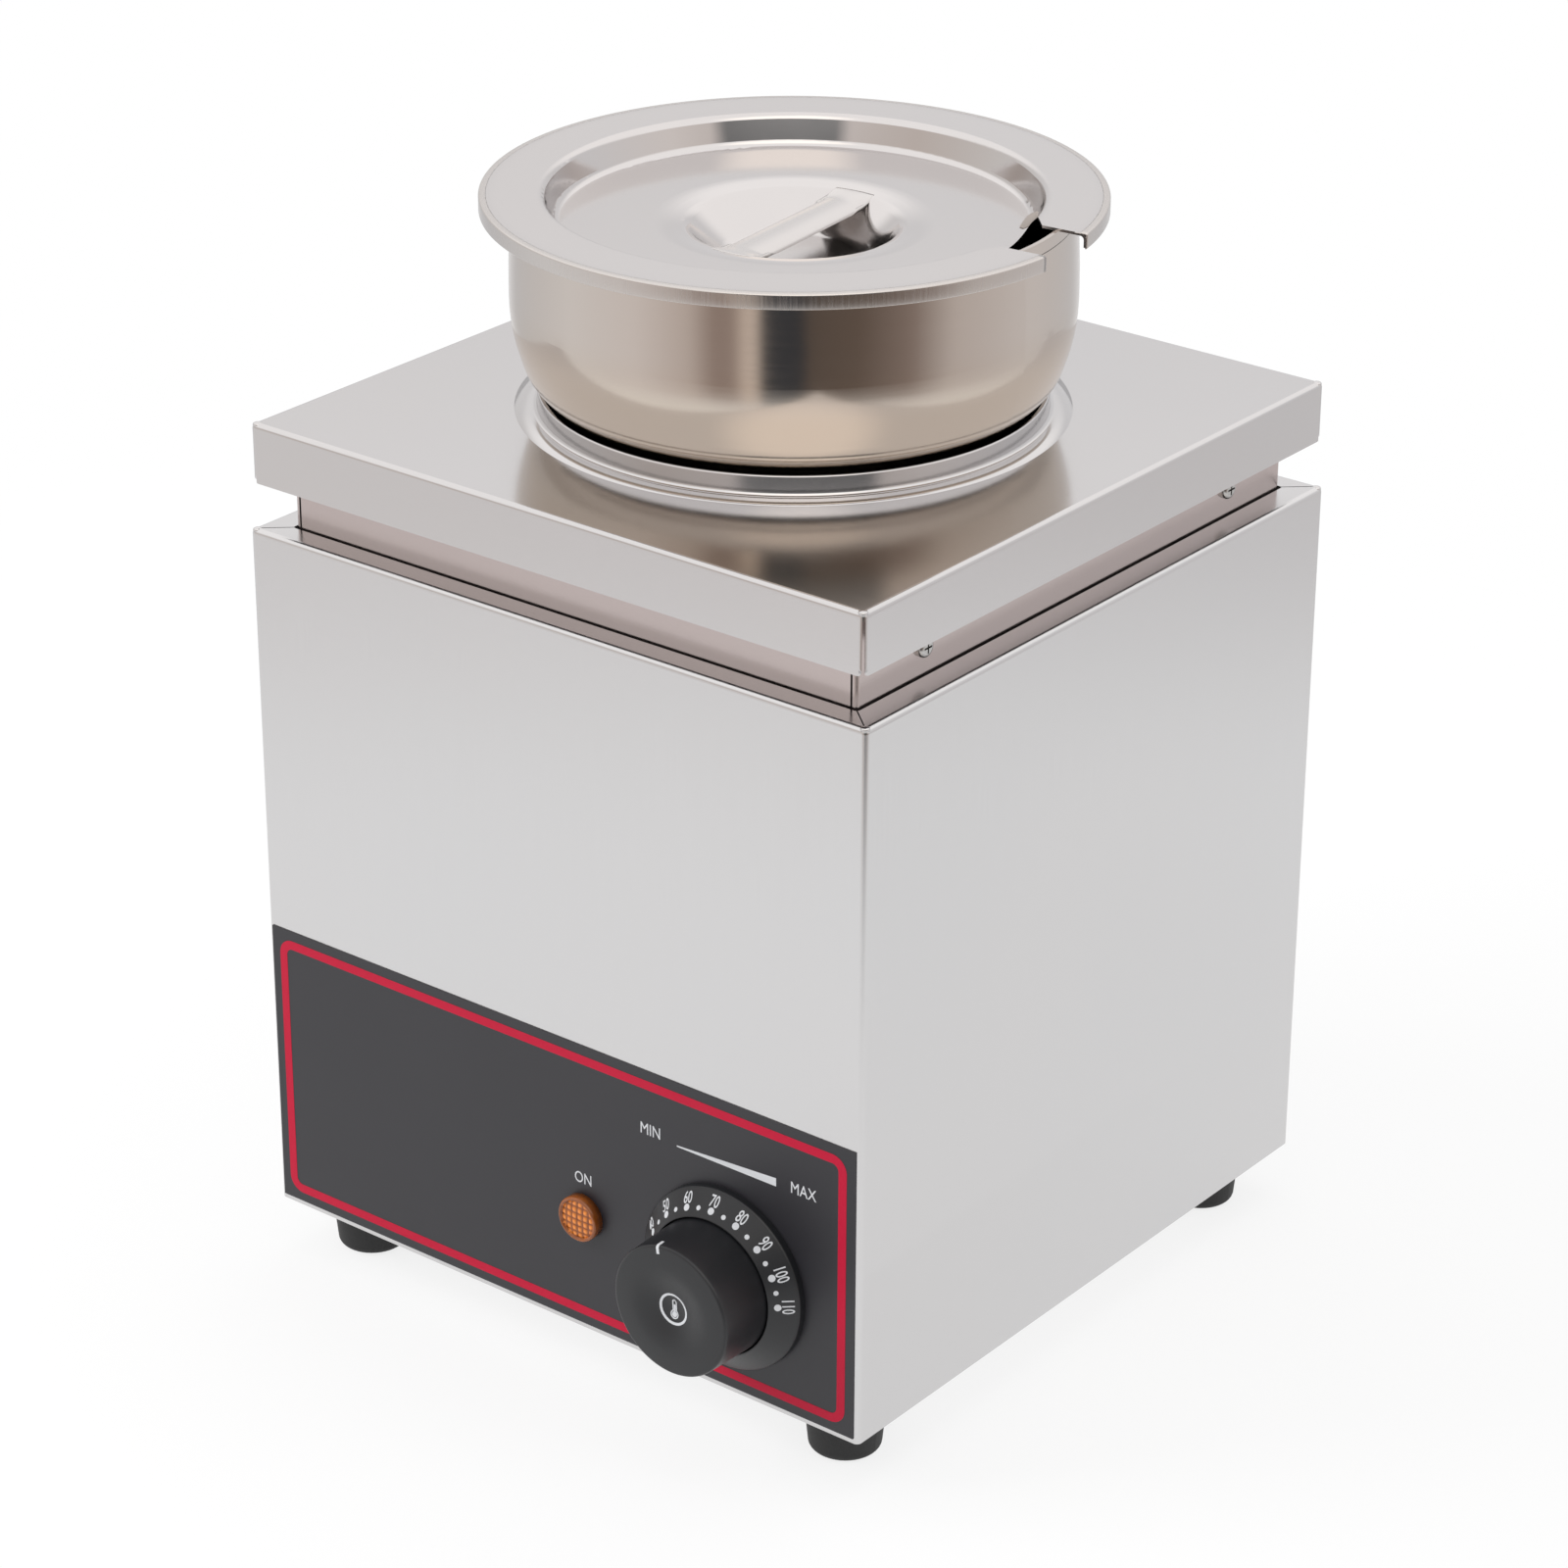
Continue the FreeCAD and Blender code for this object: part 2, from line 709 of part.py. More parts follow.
def top_plate():
    solid = folded_tower(plate_half_x, plate_half_y, skirt_bottom, plate_top, plate_bend)
    solid = solid.cut(folded_tower(plate_half_x - plate_sheet, plate_half_y - plate_sheet, skirt_bottom - 1,
                                   plate_top - plate_sheet, plate_bend - plate_sheet))
    blank = collar_radius + collar_blank
    solid = solid.cut(rod(blank, plate_top - 5, plate_top + 5))
    collar = turned_sheet([(blank, plate_top, 0), (collar_radius, plate_top, collar_root),
                           (collar_radius, plate_top + collar_height, 0)], plate_sheet)
    solid = solid.fuse(collar).removeSplitter()
    cuts = []
    for sx, sy in four_corners(1, 1):
        slot = bar(-8, 8, -plate_seam / 2, plate_seam / 2, skirt_bottom - 1, plate_top - plate_bend - 1)
        slot.Placement = FreeCAD.Placement(vec(sx * plate_half_x, sy * plate_half_y, 0),
                                           FreeCAD.Rotation(UP, 45.0 * sx * sy))
        cuts.append(slot)
        cutter = skirt_corner_cutter()
        along_front = cutter.copy()
        along_front.Placement = FreeCAD.Placement(
            vec(sx * plate_half_x, sy * plate_half_y, skirt_bottom), FreeCAD.Rotation(UP, 90 + 90 * sx))
        along_side = cutter.copy()
        along_side.Placement = FreeCAD.Placement(
            vec(sx * plate_half_x, sy * plate_half_y, skirt_bottom), FreeCAD.Rotation(UP, -90 * sy))
        cuts += [along_front, along_side]
    return solid.cut(cuts)


# Pot and lid

def bulge_point(angle):
    # A point of the bulge's quarter ellipse, the angle counted down from the belly.
    return (pot_lower_radius + pot_bulge * math.cos(angle), pot_belly_z - pot_bulge_depth * math.sin(angle))


def bulge_corners():
    # Corners and bends that follow the quarter ellipse from the ledge at its foot up to the belly.
    angles = [math.radians(step) for step in pot_bulge_steps]
    leans = [math.atan2(pot_bulge_depth * math.cos(a), pot_bulge * math.sin(a)) for a in angles]
    corners = []
    spent = pot_shoulder_bend
    for i in range(len(angles) - 1):
        middle = (angles[i] + angles[i + 1]) / 2
        apart = math.cos((angles[i] - angles[i + 1]) / 2)
        corner = (pot_lower_radius + pot_bulge * math.cos(middle) / apart,
                  pot_belly_z - pot_bulge_depth * math.sin(middle) / apart)
        before = math.dist(corner, bulge_point(angles[i])) - spent
        after = math.dist(corner, bulge_point(angles[i + 1]))
        half_turn = (leans[i + 1] - leans[i]) / 2
        corners.append((corner[0], corner[1], min(before, after) * pot_fairing / math.tan(half_turn)))
        spent = 0
    return corners


def pot():
    draw = pot_rim_z - pot_belly_z
    upper = (pot_rim_draw ** 2 + draw ** 2) / (2 * pot_rim_draw)
    corners = [(0, pot_base_z, 0), (pot_lower_radius, pot_base_z, pot_base_bend),
               (pot_lower_radius, pot_shoulder_z, pot_shoulder_bend)]
    corners += bulge_corners()
    corners += [(pot_belly_radius, pot_belly_z + draw / 2, upper * pot_fairing), (pot_rim_radius, pot_rim_z, 0)]
    hem = rod(pot_rim_radius + pot_hem_sheet, pot_rim_z - pot_hem_height, pot_rim_z)
    hem = hem.cut(rod(pot_rim_radius - pot_sheet / 2, pot_rim_z - pot_hem_height - past, pot_rim_z + past))
    return turned_sheet(corners, pot_sheet).fuse(hem).removeSplitter()


def lid():
    corners = [(lid_radius, lid_top - lid_skirt, 0), (lid_radius, lid_top, lid_edge_bend),
               (recess_top_radius, lid_top, lid_recess_bend),
               (recess_floor_radius, recess_floor_z, lid_floor_bend),
               (lead_radius, recess_floor_z, lead_bend), (lip_radius, lip_z, lip_bend),
               (bowl_radius, bowl_floor_z, bowl_bend), (0, bowl_floor_z, 0)]
    solid = turned_sheet(corners, lid_sheet)
    return solid.cut(lid_notch()).rotate(vec(0, 0, 0), UP, lid_turn)


def lid_notch():
    # Cutter for the ladle notch, flared where it runs into the recess wall.
    half = notch_width / 2
    inner = recess_top_radius - notch_into_wall
    waist = inner + notch_flare_length
    outer = lid_radius + past
    side = [(inner, half + notch_flare), (waist, half), (outer, half)]
    low = recess_floor_z - past
    outline = [vec(x, y, low) for x, y in side] + [vec(x, -y, low) for x, y in reversed(side)]
    return Part.Face(Part.makePolygon(outline + outline[:1])).extrude(vec(0, 0, lid_top + past - low))


def bowl_room(low, high):
    # The bowl's inside between two levels, a hair clear of its sloping wall.
    slope = (lip_radius - bowl_radius) / bowl_depth
    clear = strap_seat * math.hypot(1, slope)
    wall = [bowl_radius + slope * (z - bowl_floor_z) - clear for z in (low, high)]
    return turned([(0, low), (wall[0], low), (wall[1], high), (0, high)])


def lid_handle():
    high = lip_z - strap_drop
    low = high - strap_sheet
    half = strap_width / 2
    strap = bar(-half, half, -lip_radius, lip_radius, low, high)
    strap = strap.common(bowl_room(low, high))
    for side in (-1, 1):
        edge = side * (half - strap_sheet / 2)
        strap = strap.fuse(bar(edge - strap_sheet / 2, edge + strap_sheet / 2, -strap_hem_length / 2,
                               strap_hem_length / 2, high - strap_hem, high))
    return strap.removeSplitter().rotate(vec(0, 0, 0), UP, lid_turn)


# Tank, trivet and insulation

def water_tank():
    def pan(inset, floor, top):
        solid = tower(tank_half_x - inset, tank_half_y - inset, floor, top, tank_corner - inset)
        low = [e for e in solid.Edges if max(v.Z for v in e.Vertexes) < floor + 1e-6]
        return solid.makeFillet(tank_floor_bend - inset, low)
    shell = pan(0, tank_floor, tank_rim_top)
    rim = tower(tank_half_x + tank_rim_lap, tank_half_y + tank_rim_lap, neck_top, tank_rim_top, tank_corner)
    return shell.fuse(rim).cut(pan(tank_sheet, trivet_floor, tank_rim_top + 5)).removeSplitter()


def trivet():
    half_x = tank_half_x - trivet_margin
    half_y = tank_half_y - trivet_margin
    solid = bar(-half_x, half_x, -half_y, half_y, trivet_floor, pot_base_z)
    solid = solid.cut(bar(trivet_sheet - half_x, half_x - trivet_sheet, -half_y - 1, half_y + 1,
                          trivet_floor - 1, pot_base_z - trivet_sheet))
    count_x = int((half_x - trivet_hole) // trivet_pitch)
    count_y = int((half_y - trivet_hole) // trivet_pitch)
    holes = [rod(trivet_hole / 2, pot_base_z - 5, pot_base_z + 5, i * trivet_pitch, j * trivet_pitch)
             for i in range(-count_x, count_x + 1) for j in range(-count_y, count_y + 1)]
    return solid.cut(holes)


def insulation_wrap():
    low = tank_floor + wool_lift
    high = casing_top - wool_drop
    inner_x = tank_half_x + wool_gap
    inner_y = tank_half_y + wool_gap
    outer = tower(inner_x + wool_thickness, inner_y + wool_thickness, low, high, wool_thickness)
    return outer.cut(tower(inner_x, inner_y, low - 1, high + 1, tank_corner))


# Heater under the tank

def heat_spreader():
    plate = tower(spreader_half, spreader_half, spreader_bottom, tank_floor, spreader_corner)
    holes = [rod(m3 / 2 + thread_clearance, spreader_bottom - past, tank_floor - past, x, cutout_y)
             for x in (-cutout_ear / 2, cutout_ear / 2)]
    return plate.cut(holes)


def element_leg_places():
    half = element_loop / 2
    return [(-element_leg_spacing / 2, -half - element_leg_length),
            (element_leg_spacing / 2, -half - element_leg_length)]


def heating_element():
    half = element_loop / 2
    (left, leg_y), (right, leg_y) = element_leg_places()
    low = element_z - element_leg_drop
    points = [vec(left, leg_y, low), vec(left, leg_y, element_z), vec(left, -half, element_z),
              vec(-half, -half, element_z), vec(-half, half, element_z), vec(half, half, element_z),
              vec(half, -half, element_z), vec(right, -half, element_z), vec(right, leg_y, element_z),
              vec(right, leg_y, low)]
    bends = [element_leg_bend] * 2 + [element_bend] * 4 + [element_leg_bend] * 2
    spine = Part.Wire(rounded_route(points, bends))
    section = Part.Wire(Part.makeCircle(element_diameter / 2, points[0], UP))
    return spine.makePipeShell([section], True, False)


def element_pins():
    top = element_z - element_leg_drop
    return Part.makeCompound([rod(element_pin_diameter / 2, top - element_pin_length, top, x, y)
                              for x, y in element_leg_places()])


def element_clamp():
    plate = bar(-clamp_length / 2, clamp_length / 2, -clamp_width / 2, clamp_width / 2,
                clamp_bottom, clamp_top)
    return plate.cut(rod(m6 / 2 + hole_clearance, clamp_bottom - 1, clamp_top + 1))


def clamp_stud():
    return rod(m6 / 2, clamp_bottom - nut_height(m6) - clamp_stud_tail, spreader_bottom)


def clamp_nut():
    return facing(hex_nut(m6), DOWN, vec(0, 0, clamp_bottom))


def thermal_cutout():
    low = spreader_bottom - cutout_height
    body = rod(cutout_diameter / 2, low, spreader_bottom, 0, cutout_y)
    half = cutout_ear / 2 + cutout_ear_margin
    ear = bar(-half, half, cutout_y - cutout_ear_width / 2, cutout_y + cutout_ear_width / 2,
              spreader_bottom - cutout_ear_sheet, spreader_bottom)
    body = body.fuse(ear).removeSplitter()
    holes = [rod(m3 / 2 + hole_clearance, low - 1, spreader_bottom + 1, x, cutout_y)
             for x in (-cutout_ear / 2, cutout_ear / 2)]
    return body.cut(holes)


def cutout_screws():
    screw = pan_screw(m3, cutout_ear_sheet + spreader_sheet / 2)
    return Part.makeCompound([facing(screw, DOWN, vec(x, cutout_y, spreader_bottom - cutout_ear_sheet))
                              for x in (-cutout_ear / 2, cutout_ear / 2)])


def bulb_z():
    return spreader_bottom - seat_gap - bulb_diameter / 2


def sensing_bulb():
    return facing(rod(bulb_diameter / 2, 0, bulb_length), REAR, vec(bulb_x, -bulb_length / 2, bulb_z()))


def bulb_clips():
    half = bulb_diameter / 2 + bulb_clip_wall
    bore = bulb_diameter / 2 + seat_gap
    low = bulb_z() - bulb_diameter / 2 - bulb_clip_floor
    clips = []
    for y in (-bulb_clip_spread, bulb_clip_spread):
        saddle = bar(bulb_x - half, bulb_x + half, y - bulb_clip_width / 2, y + bulb_clip_width / 2,
                     low, spreader_bottom)
        round_cut = rod(bore, -bulb_clip_width, bulb_clip_width)
        saddle = saddle.cut(facing(round_cut, REAR, vec(bulb_x, y, bulb_z())))
        clips.append(saddle.cut(bar(bulb_x - bore, bulb_x + bore, y - bulb_clip_width, y + bulb_clip_width,
                                    bulb_z(), spreader_bottom + past)))
    return Part.makeCompound(clips)


def capillary_tube():
    start_z = control_z + capillary_rise
    turn_y = thermostat_back + capillary_reach
    start_x = dial_x + capillary_step
    points = [vec(start_x, thermostat_back, start_z), vec(start_x, turn_y, start_z),
              vec(bulb_x, turn_y, bulb_z()), vec(bulb_x, -bulb_length / 2, bulb_z())]
    return tube(points, capillary_diameter, capillary_bend)


# Controls

def control_panel():
    half = casing_half_x - panel_margin
    plate = bar(-half, half, panel_face, front_face, foot_height + panel_bottom, foot_height + panel_top)
    return plate.cut(front_holes())


def at_dial(shape):
    return facing(shape, FRONT, vec(dial_x, panel_face, control_z))


def at_lamp(shape):
    return facing(shape, FRONT, vec(lamp_x, panel_face, control_z))


def dial_bezel():
    disc = rod(bezel_diameter / 2, 0, bezel_thickness)
    rim = [e for e in disc.Edges if e.Closed and e.Vertexes[0].Z > bezel_thickness / 2]
    disc = disc.makeFillet(bezel_edge, rim)
    cuts = [rod(bush_diameter / 2 + hole_clearance, -1, bezel_thickness + 1)]
    for side in (-1, 1):
        x = side * thermostat_screw_spread
        head = m4 * head_ratio / 2 + hole_clearance
        cuts.append(rod(m4 / 2 + hole_clearance, -1, bezel_thickness + 1, x))
        cuts.append(rod(head, bezel_thickness - m4 * head_height_ratio - hole_clearance,
                        bezel_thickness + 1, x))
    return at_dial(disc.cut(cuts))


def thermostat_screw_seat():
    return bezel_thickness - m4 * head_height_ratio - hole_clearance


def thermostat_screws():
    screw = pan_screw(m4, thermostat_screw_seat() + wall_behind_panel + thermostat_screw_grip)
    seats = [vec(side * thermostat_screw_spread, 0, thermostat_screw_seat()) for side in (-1, 1)]
    return Part.makeCompound([at_dial(Part.makeCompound([screw.translated(seat) for seat in seats]))])


def thermostat_body():
    back = wall_behind_panel + thermostat_depth
    body = bar(-thermostat_width / 2, thermostat_width / 2, -thermostat_height / 2, thermostat_height / 2,
               -back, -wall_behind_panel)
    body = body.fuse(rod(bush_diameter / 2, -back / 2, bush_reach)).removeSplitter()
    bore = spindle_diameter / 2 + spindle_clearance
    cuts = [rod(bore, -spindle_depth - wall_behind_panel, bush_reach + past)]
    thread_end = -wall_behind_panel - thermostat_screw_grip - past
    for side in (-1, 1):
        cuts.append(rod(m4 / 2 + thread_clearance, thread_end, past, side * thermostat_screw_spread))
    return at_dial(body.cut(cuts))


def spindle_half_round(radius, z0, z1, flat):
    return rod(radius, z0, z1).common(bar(-radius - 1, flat, -radius - 1, radius + 1, z0 - 1, z1 + 1))


def thermostat_spindle():
    radius = spindle_diameter / 2
    low = spindle_clearance - spindle_depth - wall_behind_panel
    round_part = rod(radius, low, knob_base)
    grip = spindle_half_round(radius, knob_base, knob_base + spindle_grip, spindle_flat)
    return at_dial(round_part.fuse(grip).removeSplitter())


def control_knob():
    base = knob_base_diameter / 2
    face = knob_face_diameter / 2
    solid = turned([(0, knob_base), (base, knob_base), (face, knob_reach), (0, knob_reach)])
    rim = [e for e in solid.Edges if e.Closed and e.Vertexes[0].Z > knob_reach - 1e-6]
    solid = solid.makeFillet(knob_edge, rim)
    chord = knob_dish_diameter / 2
    dish = (chord ** 2 + knob_dish_depth ** 2) / (2 * knob_dish_depth)
    cuts = [Part.makeSphere(dish, vec(0, 0, knob_reach - knob_dish_depth + dish))]
    floor = knob_reach - knob_face_wall
    hollow = turned([(hub_diameter / 2, knob_base - 1), (base - knob_wall, knob_base - 1),
                     (face - knob_wall, floor), (hub_diameter / 2, floor)])
    cuts.append(hollow)
    bore = spindle_diameter / 2 + spindle_clearance
    cuts.append(spindle_half_round(bore, knob_base - 1, knob_base + spindle_grip + 0.5,
                                   spindle_flat + spindle_clearance))
    return at_dial(solid.cut(cuts))


def knob_clip():
    inner = hub_diameter / 2 + thread_clearance
    low = knob_base + hub_clip_lift
    ring = rod(inner + hub_clip_sheet, low, low + hub_clip_height)
    return at_dial(ring.cut(rod(inner, low - past, low + hub_clip_height + past)))


def lamp_lens():
    outer = lamp_lens_diameter / 2
    window = outer - lamp_collar_width
    solid = turned([(0, 0), (outer, 0), (outer, lamp_collar), (window, lamp_collar),
                    (window, lamp_lens_reach), (0, lamp_lens_reach)])
    rim = [e for e in solid.Edges if e.Closed and e.Vertexes[0].Z > lamp_lens_reach - 1e-6]
    return at_lamp(solid.makeFillet(lamp_lens_edge, rim))


def lamp_body():
    stem = rod(lamp_stem_diameter / 2, -lamp_stem_length, 0)
    for side in (-1, 1):
        tab = bar(-lamp_tab_sheet / 2, lamp_tab_sheet / 2, -lamp_tab_width / 2, lamp_tab_width / 2,
                  -lamp_stem_length - lamp_tab_length, -lamp_stem_length)
        stem = stem.fuse(tab.translated(vec(side * lamp_tab_spread, 0, 0)))
    return at_lamp(stem.removeSplitter())


def lamp_clip():
    top = -wall_behind_panel
    low = top - lamp_clip_height
    ring = rod(lamp_stem_diameter / 2 + lamp_clip_wall, low, top)
    return at_lamp(ring.cut(rod(lamp_stem_diameter / 2 + thread_clearance, low - past, top + past)))


# Wiring and supply

def terminal_block():
    places = block_pole_places()
    low = casing_floor
    high = casing_floor + block_height
    half = block_pole_pitch / 2
    solid = bar(places[0] - half, places[-1] + half, block_y - block_depth / 2, block_y + block_depth / 2,
                low, high)
    cuts = []
    for x in places:
        cuts.append(rod(terminal_well_diameter / 2, high - terminal_well_depth, high + past,
                        x, block_y + block_depth / 4))
    for x in (places[0], places[-1]):
        cuts.append(rod(m3 / 2 + thread_clearance, low - past, low + block_screw_grip + past, x, block_y))
    return solid.cut(cuts)


def terminal_screws():
    seat = casing_floor + block_height - terminal_well_depth
    radius = terminal_well_diameter / 2 - hole_clearance
    middle = seat + terminal_head_height / 2
    screw = rod(radius, seat, seat + terminal_head_height)
    screw = screw.cut(bar(-radius - past, radius + past, -terminal_slot / 2, terminal_slot / 2,
                          middle, middle + terminal_head_height))
    return Part.makeCompound([screw.translated(vec(x, block_y + block_depth / 4, 0))
                              for x in block_pole_places()])


def block_screws():
    screw = pan_screw(m3, base_sheet + block_screw_grip)
    places = block_pole_places()
    return Part.makeCompound([facing(screw, DOWN, vec(x, block_y, foot_height))
                              for x in (places[0], places[-1])])


def earth_stud():
    return rod(m5 / 2, casing_floor, casing_floor + earth_stud_height, earth_x, earth_y)


def earth_nuts():
    nut = hex_nut(m5)
    levels = [casing_floor, casing_floor + nut_height(m5)]
    return Part.makeCompound([nut.translated(vec(earth_x, earth_y, z)) for z in levels])


def internal_wires():
    neutral_lamp, neutral, live, earth = block_pole_places()
    block_front = block_y - block_depth / 2
    pole_z = casing_floor + wire_pole_rise
    earth_z = casing_floor + wire_earth_rise
    earth_lane = block_front - wire_earth_rise
    (left_pin, pin_y), (right_pin, pin_y) = element_leg_places()
    pin_end = element_z - element_leg_drop - element_pin_length
    stat_left = dial_x - wire_step
    stat_right = dial_x + wire_step
    stat_feed = dial_x - thermostat_width / 2 + 2 * wire_diameter
    stat_z = control_z - wire_step
    stat_lane = block_front - wire_lane
    stat_turn = thermostat_back + wire_lane
    feed_z = control_z + wire_step
    lamp_left = lamp_x - lamp_tab_spread
    lamp_right = lamp_x + lamp_tab_spread
    lamp_y = panel_face + lamp_stem_length + lamp_tab_length
    lamp_turn = lamp_y + wire_step
    cut_z = spreader_bottom - cutout_height
    upper_z = cut_z - wire_drop
    lower_z = upper_z - wire_lane
    runs = [
        [vec(left_pin, pin_y, pin_end), vec(left_pin, pin_y, pole_z + wire_drop), vec(neutral, pin_y, pole_z),
         vec(neutral, block_front, pole_z)],
        [vec(live, block_front, pole_z), vec(live, stat_lane, pole_z), vec(stat_right, stat_lane, pole_z),
         vec(stat_right, stat_lane, stat_z), vec(stat_right, thermostat_back, stat_z)],
        [vec(stat_left, thermostat_back, stat_z), vec(stat_left, stat_turn, stat_z),
         vec(stat_left, stat_turn, upper_z), vec(cutout_pin_spread, cutout_y, upper_z),
         vec(cutout_pin_spread, cutout_y, cut_z)],
        [vec(-cutout_pin_spread, cutout_y, cut_z), vec(-cutout_pin_spread, cutout_y, lower_z),
         vec(right_pin, pin_y, pin_end - wire_lane), vec(right_pin, pin_y, pin_end)],
        [vec(lamp_right, lamp_y, control_z), vec(lamp_right, lamp_turn, control_z),
         vec(stat_feed, lamp_turn, feed_z), vec(stat_feed, thermostat_back, feed_z)],
        [vec(lamp_left, lamp_y, control_z), vec(lamp_left, lamp_turn, control_z),
         vec(neutral_lamp, lamp_turn, pole_z), vec(neutral_lamp, block_front, pole_z)],
        [vec(earth, block_front, earth_z), vec(earth, earth_lane, earth_z),
         vec(earth_x, earth_lane, earth_z), vec(earth_x, earth_y - m5, earth_z)],
    ]
    return Part.makeCompound([tube(points, wire_diameter, wire_bend) for points in runs])


def at_gland(shape):
    return facing(shape, REAR, vec(gland_x, rear_face, gland_z))


def cable_gland():
    solid = hexagon(gland_hex, 0, gland_hex_height).fuse(rod(gland_thread / 2, -gland_shank, 0))
    return at_gland(solid.removeSplitter().cut(rod(gland_bore / 2, -gland_shank - 1, gland_hex_height + 1)))


def gland_dome():
    high = gland_hex_height + gland_dome_length
    radius = gland_hex / 2
    solid = rod(radius, gland_hex_height, high)
    rim = [e for e in solid.Edges if e.Closed and e.Vertexes[0].Z > high - 1e-6]
    solid = solid.makeFillet(gland_dome_edge, rim)
    return at_gland(solid.cut(rod(gland_bore / 2, gland_hex_height - past, high + past)))


def gland_locknut():
    nut = hexagon(gland_hex, -rear_sheet - gland_nut_height, -rear_sheet)
    return at_gland(nut.cut(rod(gland_thread / 2 + thread_clearance, -rear_sheet - gland_nut_height - 1, 1)))


def rear_screws():
    screw = pan_screw(m4, rear_sheet + casing_sheet + screw_tip)
    return Part.makeCompound([facing(screw, REAR, vec(x, rear_face, z)) for x, z in rear_screw_places()])


def base_screws():
    screw = pan_screw(m4, base_sheet + casing_sheet + screw_tip)
    return Part.makeCompound([facing(screw, DOWN, vec(x, y, foot_height)) for x, y in base_screw_places()])


nodes = {
    "outer_casing": outer_casing(),
    "rear_panel": rear_panel(),
    "base_plate": base_plate(),
    "feet": at_feet(foot()),
    "foot_washers": at_feet(foot_washer()),
    "foot_screws": at_feet(foot_screw()),
    "foot_nuts": at_feet(hex_nut(m5), casing_floor),
    "neck_frame": neck_frame(),
    "neck_seal": neck_seal(),
    "neck_studs": neck_studs(),
    "neck_nuts": neck_nuts(),
    "neck_brackets": neck_brackets(),
    "neck_screws": neck_screws(),
    "bracket_nuts": bracket_nuts(),
    "top_plate": top_plate(),
    "water_tank": water_tank(),
    "trivet": trivet(),
    "insulation_wrap": insulation_wrap(),
    "heat_spreader": heat_spreader(),
    "heating_element": heating_element(),
    "element_pins": element_pins(),
    "element_clamp": element_clamp(),
    "clamp_stud": clamp_stud(),
    "clamp_nut": clamp_nut(),
    "thermal_cutout": thermal_cutout(),
    "cutout_screws": cutout_screws(),
    "sensing_bulb": sensing_bulb(),
    "bulb_clips": bulb_clips(),
    "capillary_tube": capillary_tube(),
    "control_panel": control_panel(),
    "dial_bezel": dial_bezel(),
    "thermostat_screws": thermostat_screws(),
    "thermostat_body": thermostat_body(),
    "thermostat_spindle": thermostat_spindle(),
    "control_knob": control_knob(),
    "knob_clip": knob_clip(),
    "lamp_lens": lamp_lens(),
    "lamp_body": lamp_body(),
    "lamp_clip": lamp_clip(),
    "terminal_block": terminal_block(),
    "terminal_screws": terminal_screws(),
    "block_screws": block_screws(),
    "earth_stud": earth_stud(),
    "earth_nuts": earth_nuts(),
    "internal_wires": internal_wires(),
    "cable_gland": cable_gland(),
    "gland_dome": gland_dome(),
    "gland_locknut": gland_locknut(),
    "rear_screws": rear_screws(),
    "base_screws": base_screws(),
    "pot": pot(),
    "lid": lid(),
    "lid_handle": lid_handle(),
}

os.makedirs("parts", exist_ok=True)
for name, shape in nodes.items():
    shape.exportStep(f"parts/{name}.step")
    print(name, len(shape.Solids), round(shape.Volume), shape.isValid())
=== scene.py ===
import math

import bmesh
import bpy
import numpy as np
from mathutils import Matrix, Vector


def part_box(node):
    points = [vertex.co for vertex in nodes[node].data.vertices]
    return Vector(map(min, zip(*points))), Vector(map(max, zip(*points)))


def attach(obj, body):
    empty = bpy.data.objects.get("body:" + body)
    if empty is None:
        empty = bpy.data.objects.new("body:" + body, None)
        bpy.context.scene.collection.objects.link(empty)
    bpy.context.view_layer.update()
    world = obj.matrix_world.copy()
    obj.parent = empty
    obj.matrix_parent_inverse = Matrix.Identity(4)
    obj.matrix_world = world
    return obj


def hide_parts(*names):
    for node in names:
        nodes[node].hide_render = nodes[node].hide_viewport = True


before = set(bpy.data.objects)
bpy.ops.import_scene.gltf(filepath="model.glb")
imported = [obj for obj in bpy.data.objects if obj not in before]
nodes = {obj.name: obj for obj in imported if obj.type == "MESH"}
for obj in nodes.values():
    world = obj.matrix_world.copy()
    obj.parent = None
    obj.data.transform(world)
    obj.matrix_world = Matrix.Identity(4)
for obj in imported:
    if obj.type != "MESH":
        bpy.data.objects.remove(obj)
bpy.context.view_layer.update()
mm = 0.001
print("frame loaded,", len(nodes), "nodes")


# small helpers

def linear(hexColour):
    # sRGB hex to linear light
    parts = [int(hexColour[i:i + 2], 16) / 255 for i in (1, 3, 5)]
    return [c / 12.92 if c <= 0.04045 else ((c + 0.055) / 1.055) ** 2.4 for c in parts] + [1.0]


def addNode(tree, kind, settings={}, inputs={}):
    # one node with its settings; an input is a number, a colour or another node's output
    node = tree.nodes.new(kind)
    for key, value in settings.items():
        setattr(node, key, value)
    for key, value in inputs.items():
        if isinstance(value, bpy.types.NodeSocket):
            tree.links.new(value, node.inputs[key])
        else:
            node.inputs[key].default_value = value
    return node


def setStops(node, stops):
    # a colour ramp's stops, given as place and colour
    ramp = node.color_ramp
    while len(ramp.elements) < len(stops):
        ramp.elements.new(1.0)
    for element, (place, colour) in zip(ramp.elements, stops):
        element.position = place
        element.color = colour
    return node.outputs["Color"]


def startMaterial(name):
    # an empty material, its tree of nodes and the object's own coordinates
    material = bpy.data.materials.new(name)
    material.use_nodes = True
    tree = material.node_tree
    tree.nodes.clear()
    place = addNode(tree, "ShaderNodeTexCoord").outputs["Object"]
    return material, tree, place


def endMaterial(material, tree, shader):
    # the shader becomes the material's surface
    addNode(tree, "ShaderNodeOutputMaterial", {}, {"Surface": shader.outputs[0]})
    return material


